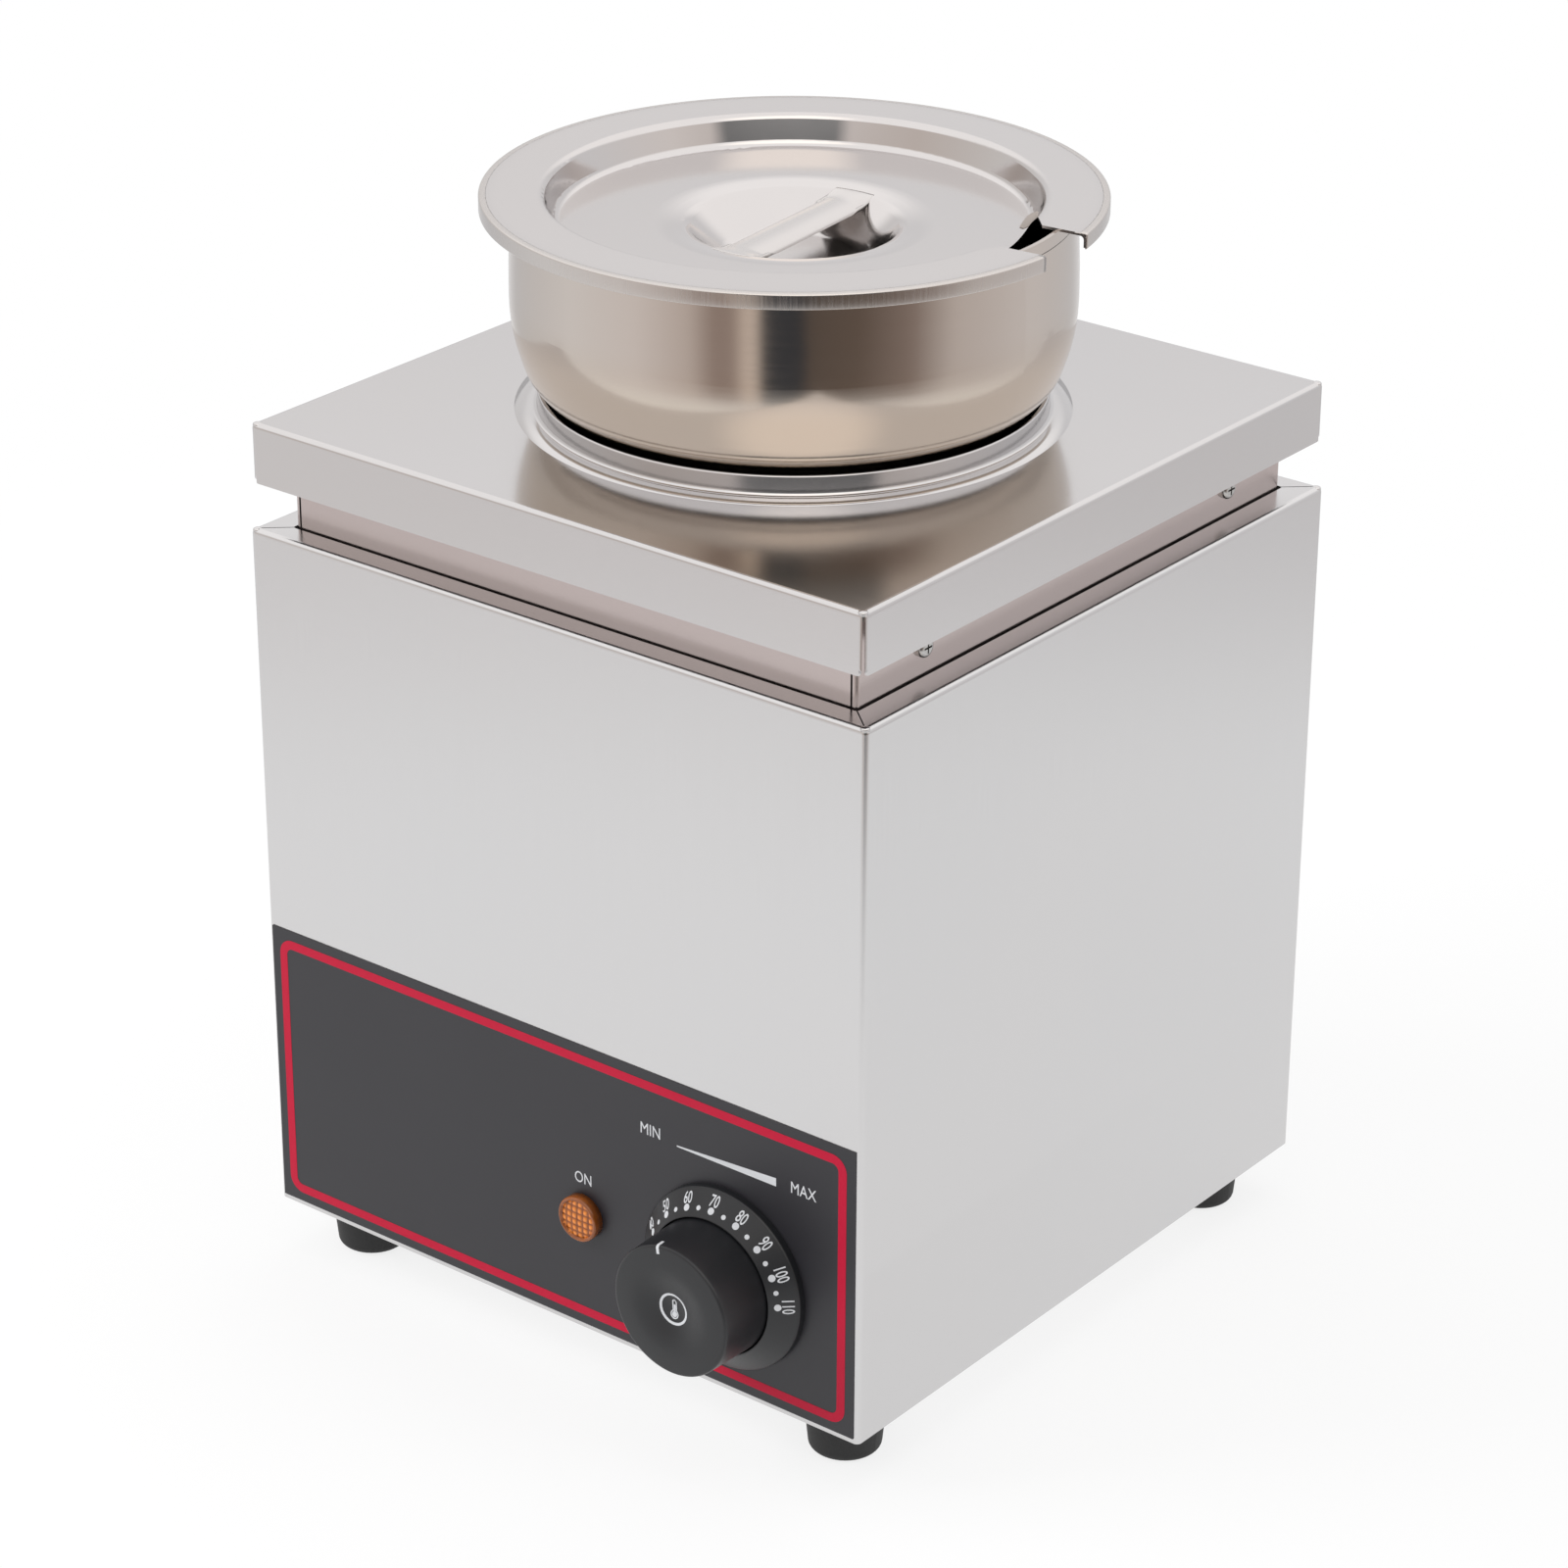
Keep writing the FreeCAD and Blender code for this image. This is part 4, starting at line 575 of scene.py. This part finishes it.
def knobPieces(p):
    # the turned knob; its profile and the middle of its foot serve the sign as well
    profile = knobProfile(p)
    centre = ((knobLow[0] + knobHigh[0]) / 2, knobHigh[1], (knobLow[2] + knobHigh[2]) / 2)
    grid = toFront(spun(profile, p["steps"]), centre)
    knob = makePiece("knobShell", [grid], "knob", "dial", around=True)
    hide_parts("control_knob")
    # the pointer is a thin strip that follows the profile over the rim
    start = knobHigh[1] - knobLow[1] - p["crown"] - p["edge"] - p["pointerSide"]
    end = p["faceRadius"] - p["edge"] - p["pointerFace"]
    line = profile[(profile[:, 1] > start) & (profile[:, 0] > end)]
    slope = np.gradient(line, axis=0)
    out = np.stack([slope[:, 1], -slope[:, 0]], 1) / np.linalg.norm(slope, axis=1)[:, None]
    half, sink, thick = p["pointerWidth"] / 2, p["pointerSink"], p["pointerThick"]
    ring = np.array([(-half, -sink), (-half, thick), (half, thick), (half, -sink), (-half, -sink)])
    r = line[:, 0][:, None] + out[:, 0][:, None] * ring[:, 1]
    h = line[:, 1][:, None] + out[:, 1][:, None] * ring[:, 1]
    w = ring[:, 0] + 0 * r
    a = math.radians(p["pointerAngle"])
    bar = np.stack([r * math.sin(a) + w * math.cos(a), r * math.cos(a) - w * math.sin(a), h], -1)
    grids = [toFront(g, centre) for g in [bar] + endCaps(bar)]
    makePiece("knobPointer", grids, "paleInk", "dial", smooth=False)
    return profile, centre


knobLine, knobCentre = knobPieces(knobShape)


signLook = {"ringOuter": 6.1 * mm, "ringInner": 5.2 * mm, "bulbRadius": 1.75 * mm, "bulbPlace": -2.3 * mm,
            "stemHalf": 0.95 * mm, "stemTop": 3.6 * mm, "wall": 0.42 * mm, "column": 0.38 * mm,
            "columnTop": 1.2 * mm, "beadGap": 0.25 * mm, "pinch": 0.02, "thick": 0.12 * mm, "sink": 0.1 * mm,
            "faceDepth": 4.0 * mm, "steps": 96}


def knobSign(p):
    # a ring round a thermometer outline: bulb, stem and a column up its middle; all lie on the dish
    face = knobLine[knobLine[:, 1] > knobLine[:, 1].max() - p["faceDepth"]][::-1]

    def onFace(x, y, lift):
        # flat places laid on the knob's face
        r = np.hypot(x, y)
        return toFront(np.stack([x, y, np.interp(r, face[:, 0], face[:, 1]) + lift], -1), knobCentre)

    def band(outer, inner):
        # a closed band between two outlines, with a top, two edges and an underside
        lines = (outer, outer, inner, inner, outer)
        lifts = (-p["sink"], p["thick"], p["thick"], -p["sink"], -p["sink"])
        return np.stack([onFace(line[:, 0], line[:, 1], lift) for line, lift in zip(lines, lifts)])

    def filled(line):
        # a whole face: the band between its outline and a tiny copy of that at its middle
        middle = line.mean(0)
        return band(line, middle + p["pinch"] * (line - middle))

    a = np.linspace(0, 2 * np.pi, p["steps"], endpoint=False)
    circle = np.stack([np.sin(a), np.cos(a)], 1)

    def outline(grow):
        # stem with a round top above a round bulb, both grown by the same margin
        bulb = p["bulbRadius"] + grow
        half = p["stemHalf"] + grow
        join = math.sqrt(bulb ** 2 - half ** 2)
        start = math.atan2(half, join)
        low = np.linspace(start, 2 * np.pi - start, p["steps"] * 2 // 3)
        top = np.linspace(-np.pi / 2, np.pi / 2, p["steps"] // 3)
        lower = np.stack([bulb * np.sin(low), p["bulbPlace"] + bulb * np.cos(low)], 1)
        upper = np.stack([half * np.sin(top), p["stemTop"] - p["stemHalf"] + half * np.cos(top)], 1)
        return np.concatenate([lower, upper])

    level = np.where(np.cos(a) > 0, p["columnTop"], p["bulbPlace"])
    core = np.stack([p["column"] * np.sin(a), level + p["column"] * np.cos(a)], 1)
    bead = circle * (p["bulbRadius"] - p["wall"] - p["beadGap"]) + [0, p["bulbPlace"]]
    grids = [band(circle * p["ringOuter"], circle * p["ringInner"]), band(outline(0.0), outline(-p["wall"])),
             filled(core), filled(bead)]
    makePiece("knobSign", grids, "paleInk", "dial", around=True, smooth=False)


knobSign(signLook)
print("knob made")


# lamp lens

lensShape = {"rim": 1.25 * mm, "rimLift": 0.25 * mm, "pitch": 2.5 * mm, "relief": 0.55 * mm, "dome": 0.5 * mm,
             "power": 0.8, "fade": 0.9 * mm, "rimSlope": 0.2 * mm, "rimRound": 0.5 * mm, "rimDrop": 0.6 * mm,
             "rimTip": 0.12, "rings": 90, "steps": 160}


def pipGrid(x, y, pitch):
    # one in the middle of each square and nothing along the lines between: sine times sine, without its sign
    return np.abs(np.sin(np.pi * x / pitch) * np.sin(np.pi * y / pitch))


def lampLens(p):
    # inside the flat rim a low dome carries a square grid of rounded pips, which fade out towards the rim
    radius = (lensHigh[0] - lensLow[0]) / 2
    reach = panelLow[1] - lensLow[1]
    window = radius - p["rim"]
    r = np.linspace(0, window, p["rings"])[:, None]
    a = np.linspace(0, 2 * np.pi, p["steps"], endpoint=False)
    x, y = r * np.cos(a), r * np.sin(a)
    pip = pipGrid(x, y, p["pitch"]) ** p["power"]
    fade = np.clip((window - r) / p["fade"], 0, 1)
    h = reach - p["dome"] * (r / window) ** 2 - p["relief"] * (1 - pip * fade) - p["rimLift"]
    dome = np.stack([x, y, h], -1)
    top = reach - p["rimLift"]
    rim = np.array([(window + p["rimSlope"], top), (radius - p["rimRound"], top),
                    (radius, top - p["rimDrop"]), (radius, 0.0), (0.0, 0.0)])
    face = (lampCentre[0], panelLow[1], lampCentre[2])
    shape = np.concatenate([dome, spun(rim, p["steps"])])
    piece = makePiece("lampLensCap", [toFront(shape, face)], "lens", "cabinet", around=True)
    # the finish reads how near each corner lies to the peak of a pip, for its painted glow
    co = np.empty(len(piece.data.vertices) * 3)
    piece.data.vertices.foreach_get("co", co)
    co = co.reshape(-1, 3)
    x, y = co[:, 0] - lampCentre[0], co[:, 2] - lampCentre[2]
    paintedTipGlow = np.where(np.hypot(x, y) < window, pipGrid(x, y, p["pitch"]), p["rimTip"])
    piece.data.attributes.new("paintedTipGlow", "FLOAT", "POINT").data.foreach_set("value", paintedTipGlow.astype(np.float32))
    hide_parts("lamp_lens")


lampLens(lensShape)
print("lamp made")


# strap across the lid's bowl; the lid stands turned a little about its axis

lidTurn = math.radians(5.5)
strapHigh = np.array(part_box("lid_handle")[1])
strapShape = {"width": 17.0 * mm, "crown": 1.5 * mm, "sheet": 1.0 * mm, "hem": 2.5 * mm,
              "edge": 0.8 * mm, "hemStart": 29.0 * mm, "hemFull": 24.0 * mm, "reach": 41.0 * mm,
              "flushStart": 31.0 * mm, "rise": 0.75 * mm, "crownPower": 2.2, "faceSteps": 25, "edgeSteps": 7,
              "underSteps": 21, "rows": 81}


def smoothStep(value, start, end):
    # nothing before the start, one after the end, between them three squares of the share less two cubes
    share = np.clip((value - start) / (end - start), 0, 1)
    return share * share * (3 - 2 * share)


def lidStrap(p):
    # a crowned strip with turned-down edges, carried straight across the bowl; its ends flatten, rise and
    # run under the skin of the lip, and follow a circle about the lid's axis
    half = p["width"] / 2
    x = np.linspace(-half + p["edge"], half - p["edge"], p["faceSteps"])
    a = np.linspace(np.pi / 2, 0, p["edgeSteps"])[1:]
    roundX, roundZ = half - p["edge"] + p["edge"] * np.cos(a), p["edge"] * (np.sin(a) - 1)
    sideX = np.concatenate([x, roundX])
    sideZ = np.concatenate([0 * x, roundZ])
    hemX = np.array([half, half - p["sheet"]])
    under = np.linspace(half - p["sheet"], -half + p["sheet"], p["underSteps"])
    ringX = np.concatenate([sideX, hemX, under, -hemX[::-1], -roundX[::-1]])
    ringZ = np.concatenate([sideZ, 0 * hemX, 0 * under - p["sheet"], 0 * hemX, roundZ[::-1]])
    hemmed = np.concatenate([0 * sideX, [1, 1], 0 * under, [1, 1], 0 * roundX])
    v = np.linspace(-1, 1, p["rows"])[:, None]
    y = v * np.sqrt(p["reach"] ** 2 - ringX ** 2)
    out = np.hypot(y, ringX)
    flush = smoothStep(out, p["flushStart"], p["reach"])
    hem = p["sheet"] + (p["hem"] - p["sheet"]) * (1 - smoothStep(np.abs(y), p["hemFull"], p["hemStart"]))
    crown = p["crown"] * np.abs(ringX / half) ** p["crownPower"] * (1 - flush)
    z = strapHigh[2] + ringZ - np.where(hemmed > 0, hem, 0) - crown * (1 - hemmed) + p["rise"] * flush
    c, s = math.cos(lidTurn), math.sin(lidTurn)
    grid = np.stack([ringX * c - y * s, ringX * s + y * c, z], -1)
    ends = np.repeat(grid[[0, -1]].mean(1, keepdims=True), grid.shape[1], 1)
    grid = np.concatenate([ends[:1], grid, ends[1:]])
    strap = makePiece("lidStrap", [grid], "strap", "lid", around=True)
    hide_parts("lid_handle")


lidStrap(strapShape)


# the lid's edge, turned down and brushed, and what shows in the notch for the ladle

lidHigh = np.array(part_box("lid")[1])
rimShape = {"radius": 109.9 * mm, "lap": 4.4 * mm, "lapRise": 1.8 * mm, "sink": 0.03 * mm, "bend": 0.7 * mm,
            "drop": 5.5 * mm, "sheet": 0.6 * mm, "footGap": 0.03 * mm, "bendSteps": 7, "footSteps": 5,
            "from": 12.7, "to": 358.3, "steps": 361}
tabShape = {"foot": (86.7, 13.6, 405.85), "sheet": 0.6,
            "across": (0.801, 0.455, -0.39), "up": (-0.277, 0.858, 0.433),
            "left": [(-4.5, 4.1), (-4.6, 5.0), (-4.1, 7.2), (-3.2, 10.5), (-1.8, 12.8), (-0.3, 14.4)],
            "right": [(-3.2, 4.3), (-1.8, 6.0), (-0.7, 8.0), (0.0, 10.2), (0.3, 12.6), (0.1, 14.4)]}
hemShape = {"radius": 98.85 * mm, "drop": rimShape["drop"], "tall": 0.35 * mm, "deep": 0.6 * mm, "steps": 180}


def shell(outer, inner):
    # two grids of the same size become the two faces of a closed sheet; its ends fold onto their middle line
    ring = np.concatenate([outer, inner[:, ::-1]], 1)
    middle = (outer + inner)[[0, -1]] / 2
    fold = np.concatenate([middle, middle[:, ::-1]], 1)
    return np.concatenate([fold[:1], ring, fold[1:]])


def swept(profile, degrees):
    # a profile of radius and height carried along part of a turn, one row per angle
    angle = np.radians(degrees)[:, None]
    r, h = profile[:, 0], profile[:, 1]
    return np.stack([r * np.cos(angle), r * np.sin(angle), h + 0 * angle], -1)


def lidRim(p):
    # flat lap on the flange, a tight quarter round, the upright skirt and its rounded foot, with a gap for
    # the notch; the inner face follows half a sheet behind and runs straight down to just above the foot
    top = lidHigh[2]
    a = np.linspace(np.pi / 2, 0, p["bendSteps"])
    hub = np.array([p["radius"] - p["bend"], top - p["bend"]])
    bend = hub + p["bend"] * np.stack([np.cos(a), np.sin(a)], 1)
    b = np.linspace(0, -np.pi / 2, p["footSteps"])
    half = p["sheet"] / 2
    foot = np.stack([p["radius"] - half + half * np.cos(b), top - p["drop"] + half + half * np.sin(b)], 1)
    lap = np.array([(p["radius"] - p["lap"], top - p["sink"]), (p["radius"] - p["lap"] + p["lapRise"], top)])
    outer = np.concatenate([lap, bend, foot])
    inner = outer - half
    down = np.linspace(half, 0, p["footSteps"]) + p["footGap"]
    inner[-p["footSteps"]:] = foot[-1] + np.stack([0 * down - half, down], 1)
    degrees = np.linspace(p["from"], p["to"], p["steps"])
    skirt = shell(swept(outer, degrees), swept(inner, degrees))
    makePiece("lidRim", [skirt], "rim", "lid", around=True)


def notchTab(p):
    # a small leaf of sheet folded up beside the notch: its two edges are given in its own plane, all in
    # millimetres, before the lid is turned about its axis
    c, s = math.cos(lidTurn), math.sin(lidTurn)
    turned = np.array([(c, s, 0), (-s, c, 0), (0, 0, 1)])
    foot, across, up = (np.array(p[key]) for key in ("foot", "across", "up"))
    edge = np.stack([p["left"], p["right"]], 1)
    middle = foot + edge[..., :1] * across + edge[..., 1:] * up
    out = np.cross(up, across) * p["sheet"] / 2
    faces = [(middle + side * out) @ turned * mm for side in (1, -1)]
    # its finish paints the tab's shade and reflection into its colour
    makePiece("notchTab", [shell(*faces)], "tabShadeAndReflection", "lid", around=True, smooth=False)


def hemLine(p):
    # the open slit under the pot's hem, drawn as a thin dark ring: painted shade
    z = lidHigh[2] - p["drop"]
    ring = np.array([(p["radius"], z), (p["radius"], z - p["tall"]), (p["radius"] - p["deep"], z - p["tall"]),
                     (p["radius"] - p["deep"], z), (p["radius"], z)])
    makePiece("potHemPaintedShade", [spun(ring, p["steps"])], "rubber", "pot", around=True, smooth=False)


lidRim(rimShape)
notchTab(tabShape)
hemLine(hemShape)


# smooth skin over the collar that the plate is drawn up into

plateLow, plateHigh = (np.array(corner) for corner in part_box("top_plate"))
collarShape = {"radius": 90.5 * mm, "rise": 7.7 * mm, "root": 1.9 * mm, "lift": 0.3 * mm, "lap": 7.0 * mm,
               "under": 0.02 * mm, "sheet": 1.0 * mm, "kneePlace": 0.2, "kneeLift": 0.8, "rootSteps": 14,
               "edgeSteps": 9, "steps": 240}
plateTop = plateHigh[2] - collarShape["rise"]


def collarSkin(p):
    # a flat lap on the plate, a quarter round up the root, the upright wall and its rounded top edge
    a = np.linspace(0, np.pi / 2, p["rootSteps"])
    hub = p["radius"] + p["root"]
    wallFoot = plateTop + p["root"]
    root = np.stack([hub + p["lift"] - p["root"] * np.sin(a), wallFoot - p["root"] * np.cos(a)], 1)
    root[:, 1] += p["lift"] * (1 - a / (np.pi / 2))
    knee = (hub + p["kneePlace"] * p["lap"], plateTop + p["kneeLift"] * p["lift"])
    lap = np.array([(hub + p["lap"], plateTop - p["under"]), knee])
    e = np.linspace(0, np.pi, p["edgeSteps"])
    half = p["sheet"] / 2
    bend = half + p["lift"]
    edge = np.stack([p["radius"] - half + bend * np.cos(e), plateHigh[2] - bend + bend * np.sin(e)], 1)
    # it closes through the middle of the sheet below
    inside = np.array([(p["radius"] - p["sheet"] - p["lift"], wallFoot), (p["radius"] - half, wallFoot),
                       (hub, plateTop - half), (hub + p["lap"], plateTop - half)])
    profile = np.concatenate([lap, root, edge, inside, lap[:1]])
    makePiece("collarSkin", [spun(profile, p["steps"])], "plate", "cabinet", around=True)


collarSkin(collarShape)


# ground-down weld spots that close the folded corners

casingLow, casingHigh = (np.array(corner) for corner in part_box("outer_casing"))
weldShape = {"height": 0.8 * mm, "radius": 1.7 * mm, "inset": 1.9 * mm, "steps": 24, "rings": 8,
             "sink": 0.5 * mm, "bury": 0.7, "casingTop": 293.5 * mm}


def weldSpots(p):
    # a flattened half ball at each upper corner of the casing and of the plate, most of it below the face
    a = np.linspace(0, np.pi / 2, p["rings"])
    profile = np.stack([p["radius"] * np.cos(a), p["height"] * np.sin(a)], 1)
    profile = np.concatenate([[(0, -p["sink"]), (p["radius"], -p["sink"])], profile])
    dome = spun(profile, p["steps"])
    tops = [(casingLow, casingHigh, p["casingTop"]), (plateLow, plateHigh, plateTop)]
    grids = []
    for low, high, level in tops:
        for x in (low[0] + p["inset"], high[0] - p["inset"]):
            for y in (low[1] + p["inset"], high[1] - p["inset"]):
                grids.append(dome + [x, y, level - p["bury"] * p["height"]])
    makePiece("weldSpots", grids, "plate", "cabinet", around=True)


weldSpots(weldShape)
print("strap and collar made")


# camera, floor and light

# angles in degrees, place in metres, focal length and width of the picture in pixels, sensor in millimetres
view = {"azimuth": 38.28, "elevation": 25.28, "roll": 0.2, "place": (0.982, -1.249, 0.934),
        "focal": 4868.79, "picture": 1600.0, "sensor": 36.0}


def addCamera(v):
    # an orthonormal frame from the two angles, turned by the roll about the line of sight
    a, e, r = (math.radians(v[key]) for key in ("azimuth", "elevation", "roll"))
    back = Vector((math.sin(a) * math.cos(e), -math.cos(a) * math.cos(e), math.sin(e)))
    right = Vector((math.cos(a), math.sin(a), 0))
    up = back.cross(right)
    side = right * math.cos(r) + up * math.sin(r)
    top = up * math.cos(r) - right * math.sin(r)
    data = bpy.data.cameras.new("camera")
    data.sensor_width = v["sensor"]
    data.lens = v["focal"] * v["sensor"] / v["picture"]
    camera = bpy.data.objects.new("camera", data)
    bpy.context.scene.collection.objects.link(camera)
    camera.matrix_world = Matrix((side, top, back)).transposed().to_4x4()
    camera.location = v["place"]
    bpy.context.scene.camera = camera


# the room that the metal reflects: degrees to the right of the camera's place, colour there;
# the lower bands lie beyond the floor, the upper ones above the horizon
roomLook = {"facing": view["azimuth"], "diffuse": 0.6, "ceiling": (1.22, 1.2, 1.19, 1.0),
            "fadeLow": 0.26, "fadeHigh": 0.52, "bandLow": -0.12, "bandHigh": 0.08, "lampTurn": 4.0,
            "lampRise": 50.0, "lampOuter": 0.86, "lampInner": 0.98, "lampColour": (1.75, 1.67, 1.58, 1.0),
            "lower": [
                (-180, "#f4f4f5"), (-150, "#d6d6d8"), (-100, "#f3f2f2"), (-66, "#eee9e7"), (-42, "#d6ccc6"),
                (-32, "#a3938b"), (-24, "#a3938b"), (-19, "#e6d8cc"), (-15, "#e6d8cc"), (-12, "#3c3f44"),
                (2, "#3c3f44"), (7, "#655a52"), (26, "#6e6158"), (48, "#958780"), (66, "#d4cdc9"),
                (110, "#e6e4e4"), (150, "#d6d6d8"), (180, "#f4f4f5")],
            "upper": [
                (-180, "#ebeaeb"), (-110, "#e6e2df"), (-60, "#dbd1ca"), (-27, "#e2dad5"), (-20, "#848484"),
                (33, "#808080"), (40, "#e3dbd6"), (60, "#f0e9e5"), (110, "#ebeaeb"), (180, "#ebeaeb")]}

studio = {"floorRadius": 1.1, "floorSteps": 96, "fadeStart": 0.55, "fadeEnd": 0.95, "floorColour": "#fbfbfb",
          "glow": 0.8, "shine": 0.75,
          "softboxes": [
              {"name": "keyBox", "place": (-1.9, -1.5, 1.9), "aim": (0, 0, 0.25), "size": (1.8, 1.4),
               "radiance": 5.5},
              {"name": "sideBox", "place": (2.2, 0.5, 1.6), "aim": (0, 0, 0.25), "size": (1.4, 1.4),
               "radiance": 2.0},
              {"name": "topBox", "place": (0.0, 0.4, 2.4), "aim": (0, 0, 0.3), "size": (2.0, 1.6),
               "radiance": 1.2}]}


def addRoom(p):
    # a pale room with a dimmer place round the camera and a lamp above it; the background is plain white
    world = bpy.data.worlds.new("studio")
    bpy.context.scene.world = world
    world.use_nodes = True
    tree = world.node_tree
    tree.nodes.clear()
    ray = addNode(tree, "ShaderNodeTexCoord").outputs["Generated"]
    a = math.radians(p["facing"])
    ahead = addNode(tree, "ShaderNodeVectorMath", {"operation": "DOT_PRODUCT"}, {
        0: ray, 1: (math.sin(a), -math.cos(a), 0)})
    right = addNode(tree, "ShaderNodeVectorMath", {"operation": "DOT_PRODUCT"}, {
        0: ray, 1: (math.cos(a), math.sin(a), 0)})
    angle = addNode(tree, "ShaderNodeMath", {"operation": "ARCTAN2"}, {
        0: right.outputs["Value"], 1: ahead.outputs["Value"]})
    share = addNode(tree, "ShaderNodeMapRange", {}, {
        "Value": angle.outputs[0], "From Min": -math.pi, "From Max": math.pi})
    height = addNode(tree, "ShaderNodeSeparateXYZ", {}, {0: ray}).outputs["Z"]
    turns = []
    for part in ("lower", "upper"):
        ramp = addNode(tree, "ShaderNodeValToRGB", {}, {"Fac": share.outputs[0]})
        turns.append(setStops(ramp, [(degrees / 360 + 0.5, linear(colour)) for degrees, colour in p[part]]))
    above = addNode(tree, "ShaderNodeMapRange", {"interpolation_type": "SMOOTHSTEP"}, {
        "Value": height, "From Min": p["bandLow"], "From Max": p["bandHigh"]})
    bands = addNode(tree, "ShaderNodeMix", {"data_type": "RGBA"}, {
        0: above.outputs[0], 6: turns[0], 7: turns[1]})
    fade = addNode(tree, "ShaderNodeMapRange", {"interpolation_type": "SMOOTHSTEP"}, {
        "Value": height, "From Min": p["fadeLow"], "From Max": p["fadeHigh"]})
    room = addNode(tree, "ShaderNodeMix", {"data_type": "RGBA"}, {
        0: fade.outputs[0], 6: bands.outputs[2], 7: p["ceiling"]})
    b = math.radians(p["lampTurn"] + p["facing"])
    e = math.radians(p["lampRise"])
    lamp = addNode(tree, "ShaderNodeVectorMath", {"operation": "DOT_PRODUCT"}, {
        0: ray, 1: (math.sin(b) * math.cos(e), -math.cos(b) * math.cos(e), math.sin(e))})
    near = addNode(tree, "ShaderNodeMapRange", {"interpolation_type": "SMOOTHSTEP"}, {
        "Value": lamp.outputs["Value"], "From Min": p["lampOuter"], "From Max": p["lampInner"]})
    room = addNode(tree, "ShaderNodeMix", {"data_type": "RGBA"}, {
        0: near.outputs[0], 6: room.outputs[2], 7: p["lampColour"]})
    path = addNode(tree, "ShaderNodeLightPath")
    level = p["diffuse"]
    plain = addNode(tree, "ShaderNodeMix", {"data_type": "RGBA"}, {
        0: path.outputs["Is Glossy Ray"], 6: (level, level, level, 1.0), 7: room.outputs[2]})
    seen = addNode(tree, "ShaderNodeMix", {"data_type": "RGBA"}, {
        0: path.outputs["Is Camera Ray"], 6: plain.outputs[2], 7: (1.0, 1.0, 1.0, 1.0)})
    glow = addNode(tree, "ShaderNodeBackground", {}, {"Color": seen.outputs[2], "Strength": 1.0})
    addNode(tree, "ShaderNodeOutputWorld", {}, {"Surface": glow.outputs[0]})


def addStudio(s):
    # a round white floor that thins out to the white background, and three softboxes
    grid = spun(np.array([(0.0, 0.0), (s["floorRadius"], 0.0)]), s["floorSteps"])
    mesh = bpy.data.meshes.new("floor")
    mesh.from_pydata(grid.reshape(-1, 3), [], gridFaces(len(grid), s["floorSteps"], 0, True).tolist())
    tidyMesh(mesh)
    floor = bpy.data.objects.new("floor", mesh)
    bpy.context.scene.collection.objects.link(floor)
    material, tree, place = startMaterial("paleStudioFloor")
    painted = addNode(tree, "ShaderNodeBsdfDiffuse", {}, {"Color": linear(s["floorColour"])})
    white = addNode(tree, "ShaderNodeEmission", {}, {"Color": (1, 1, 1, 1), "Strength": 1.0})
    path = addNode(tree, "ShaderNodeLightPath")
    seen = addNode(tree, "ShaderNodeMath", {"operation": "MULTIPLY"}, {
        0: path.outputs["Is Camera Ray"], 1: s["glow"]})
    share = addNode(tree, "ShaderNodeMath", {"operation": "MULTIPLY_ADD"}, {
        0: path.outputs["Is Glossy Ray"], 1: s["shine"], 2: seen.outputs[0]})
    near = addNode(tree, "ShaderNodeMixShader", {}, {
        0: share.outputs[0], 1: painted.outputs[0], 2: white.outputs[0]})
    fade = addNode(tree, "ShaderNodeMapRange", {"interpolation_type": "SMOOTHSTEP"}, {
        "Value": axisDistance(tree, place), "From Min": s["fadeStart"], "From Max": s["fadeEnd"]})
    clear = addNode(tree, "ShaderNodeBsdfTransparent")
    shader = addNode(tree, "ShaderNodeMixShader", {}, {
        0: fade.outputs[0], 1: near.outputs[0], 2: clear.outputs[0]})
    mesh.materials.append(endMaterial(material, tree, shader))
    for b in s["softboxes"]:
        lamp = bpy.data.lights.new(b["name"], "AREA")
        lamp.shape = "RECTANGLE"
        lamp.size, lamp.size_y = b["size"]
        lamp.energy = b["radiance"] * math.pi * b["size"][0] * b["size"][1]
        box = bpy.data.objects.new(b["name"], lamp)
        bpy.context.scene.collection.objects.link(box)
        box.location = b["place"]
        box.rotation_euler = (Vector(b["place"]) - Vector(b["aim"])).to_track_quat("Z", "Y").to_euler()
        box.visible_glossy = False


addCamera(view)
addRoom(roomLook)
addStudio(studio)
bpy.context.scene.view_settings.view_transform = "Standard"
print("camera, floor and light set")
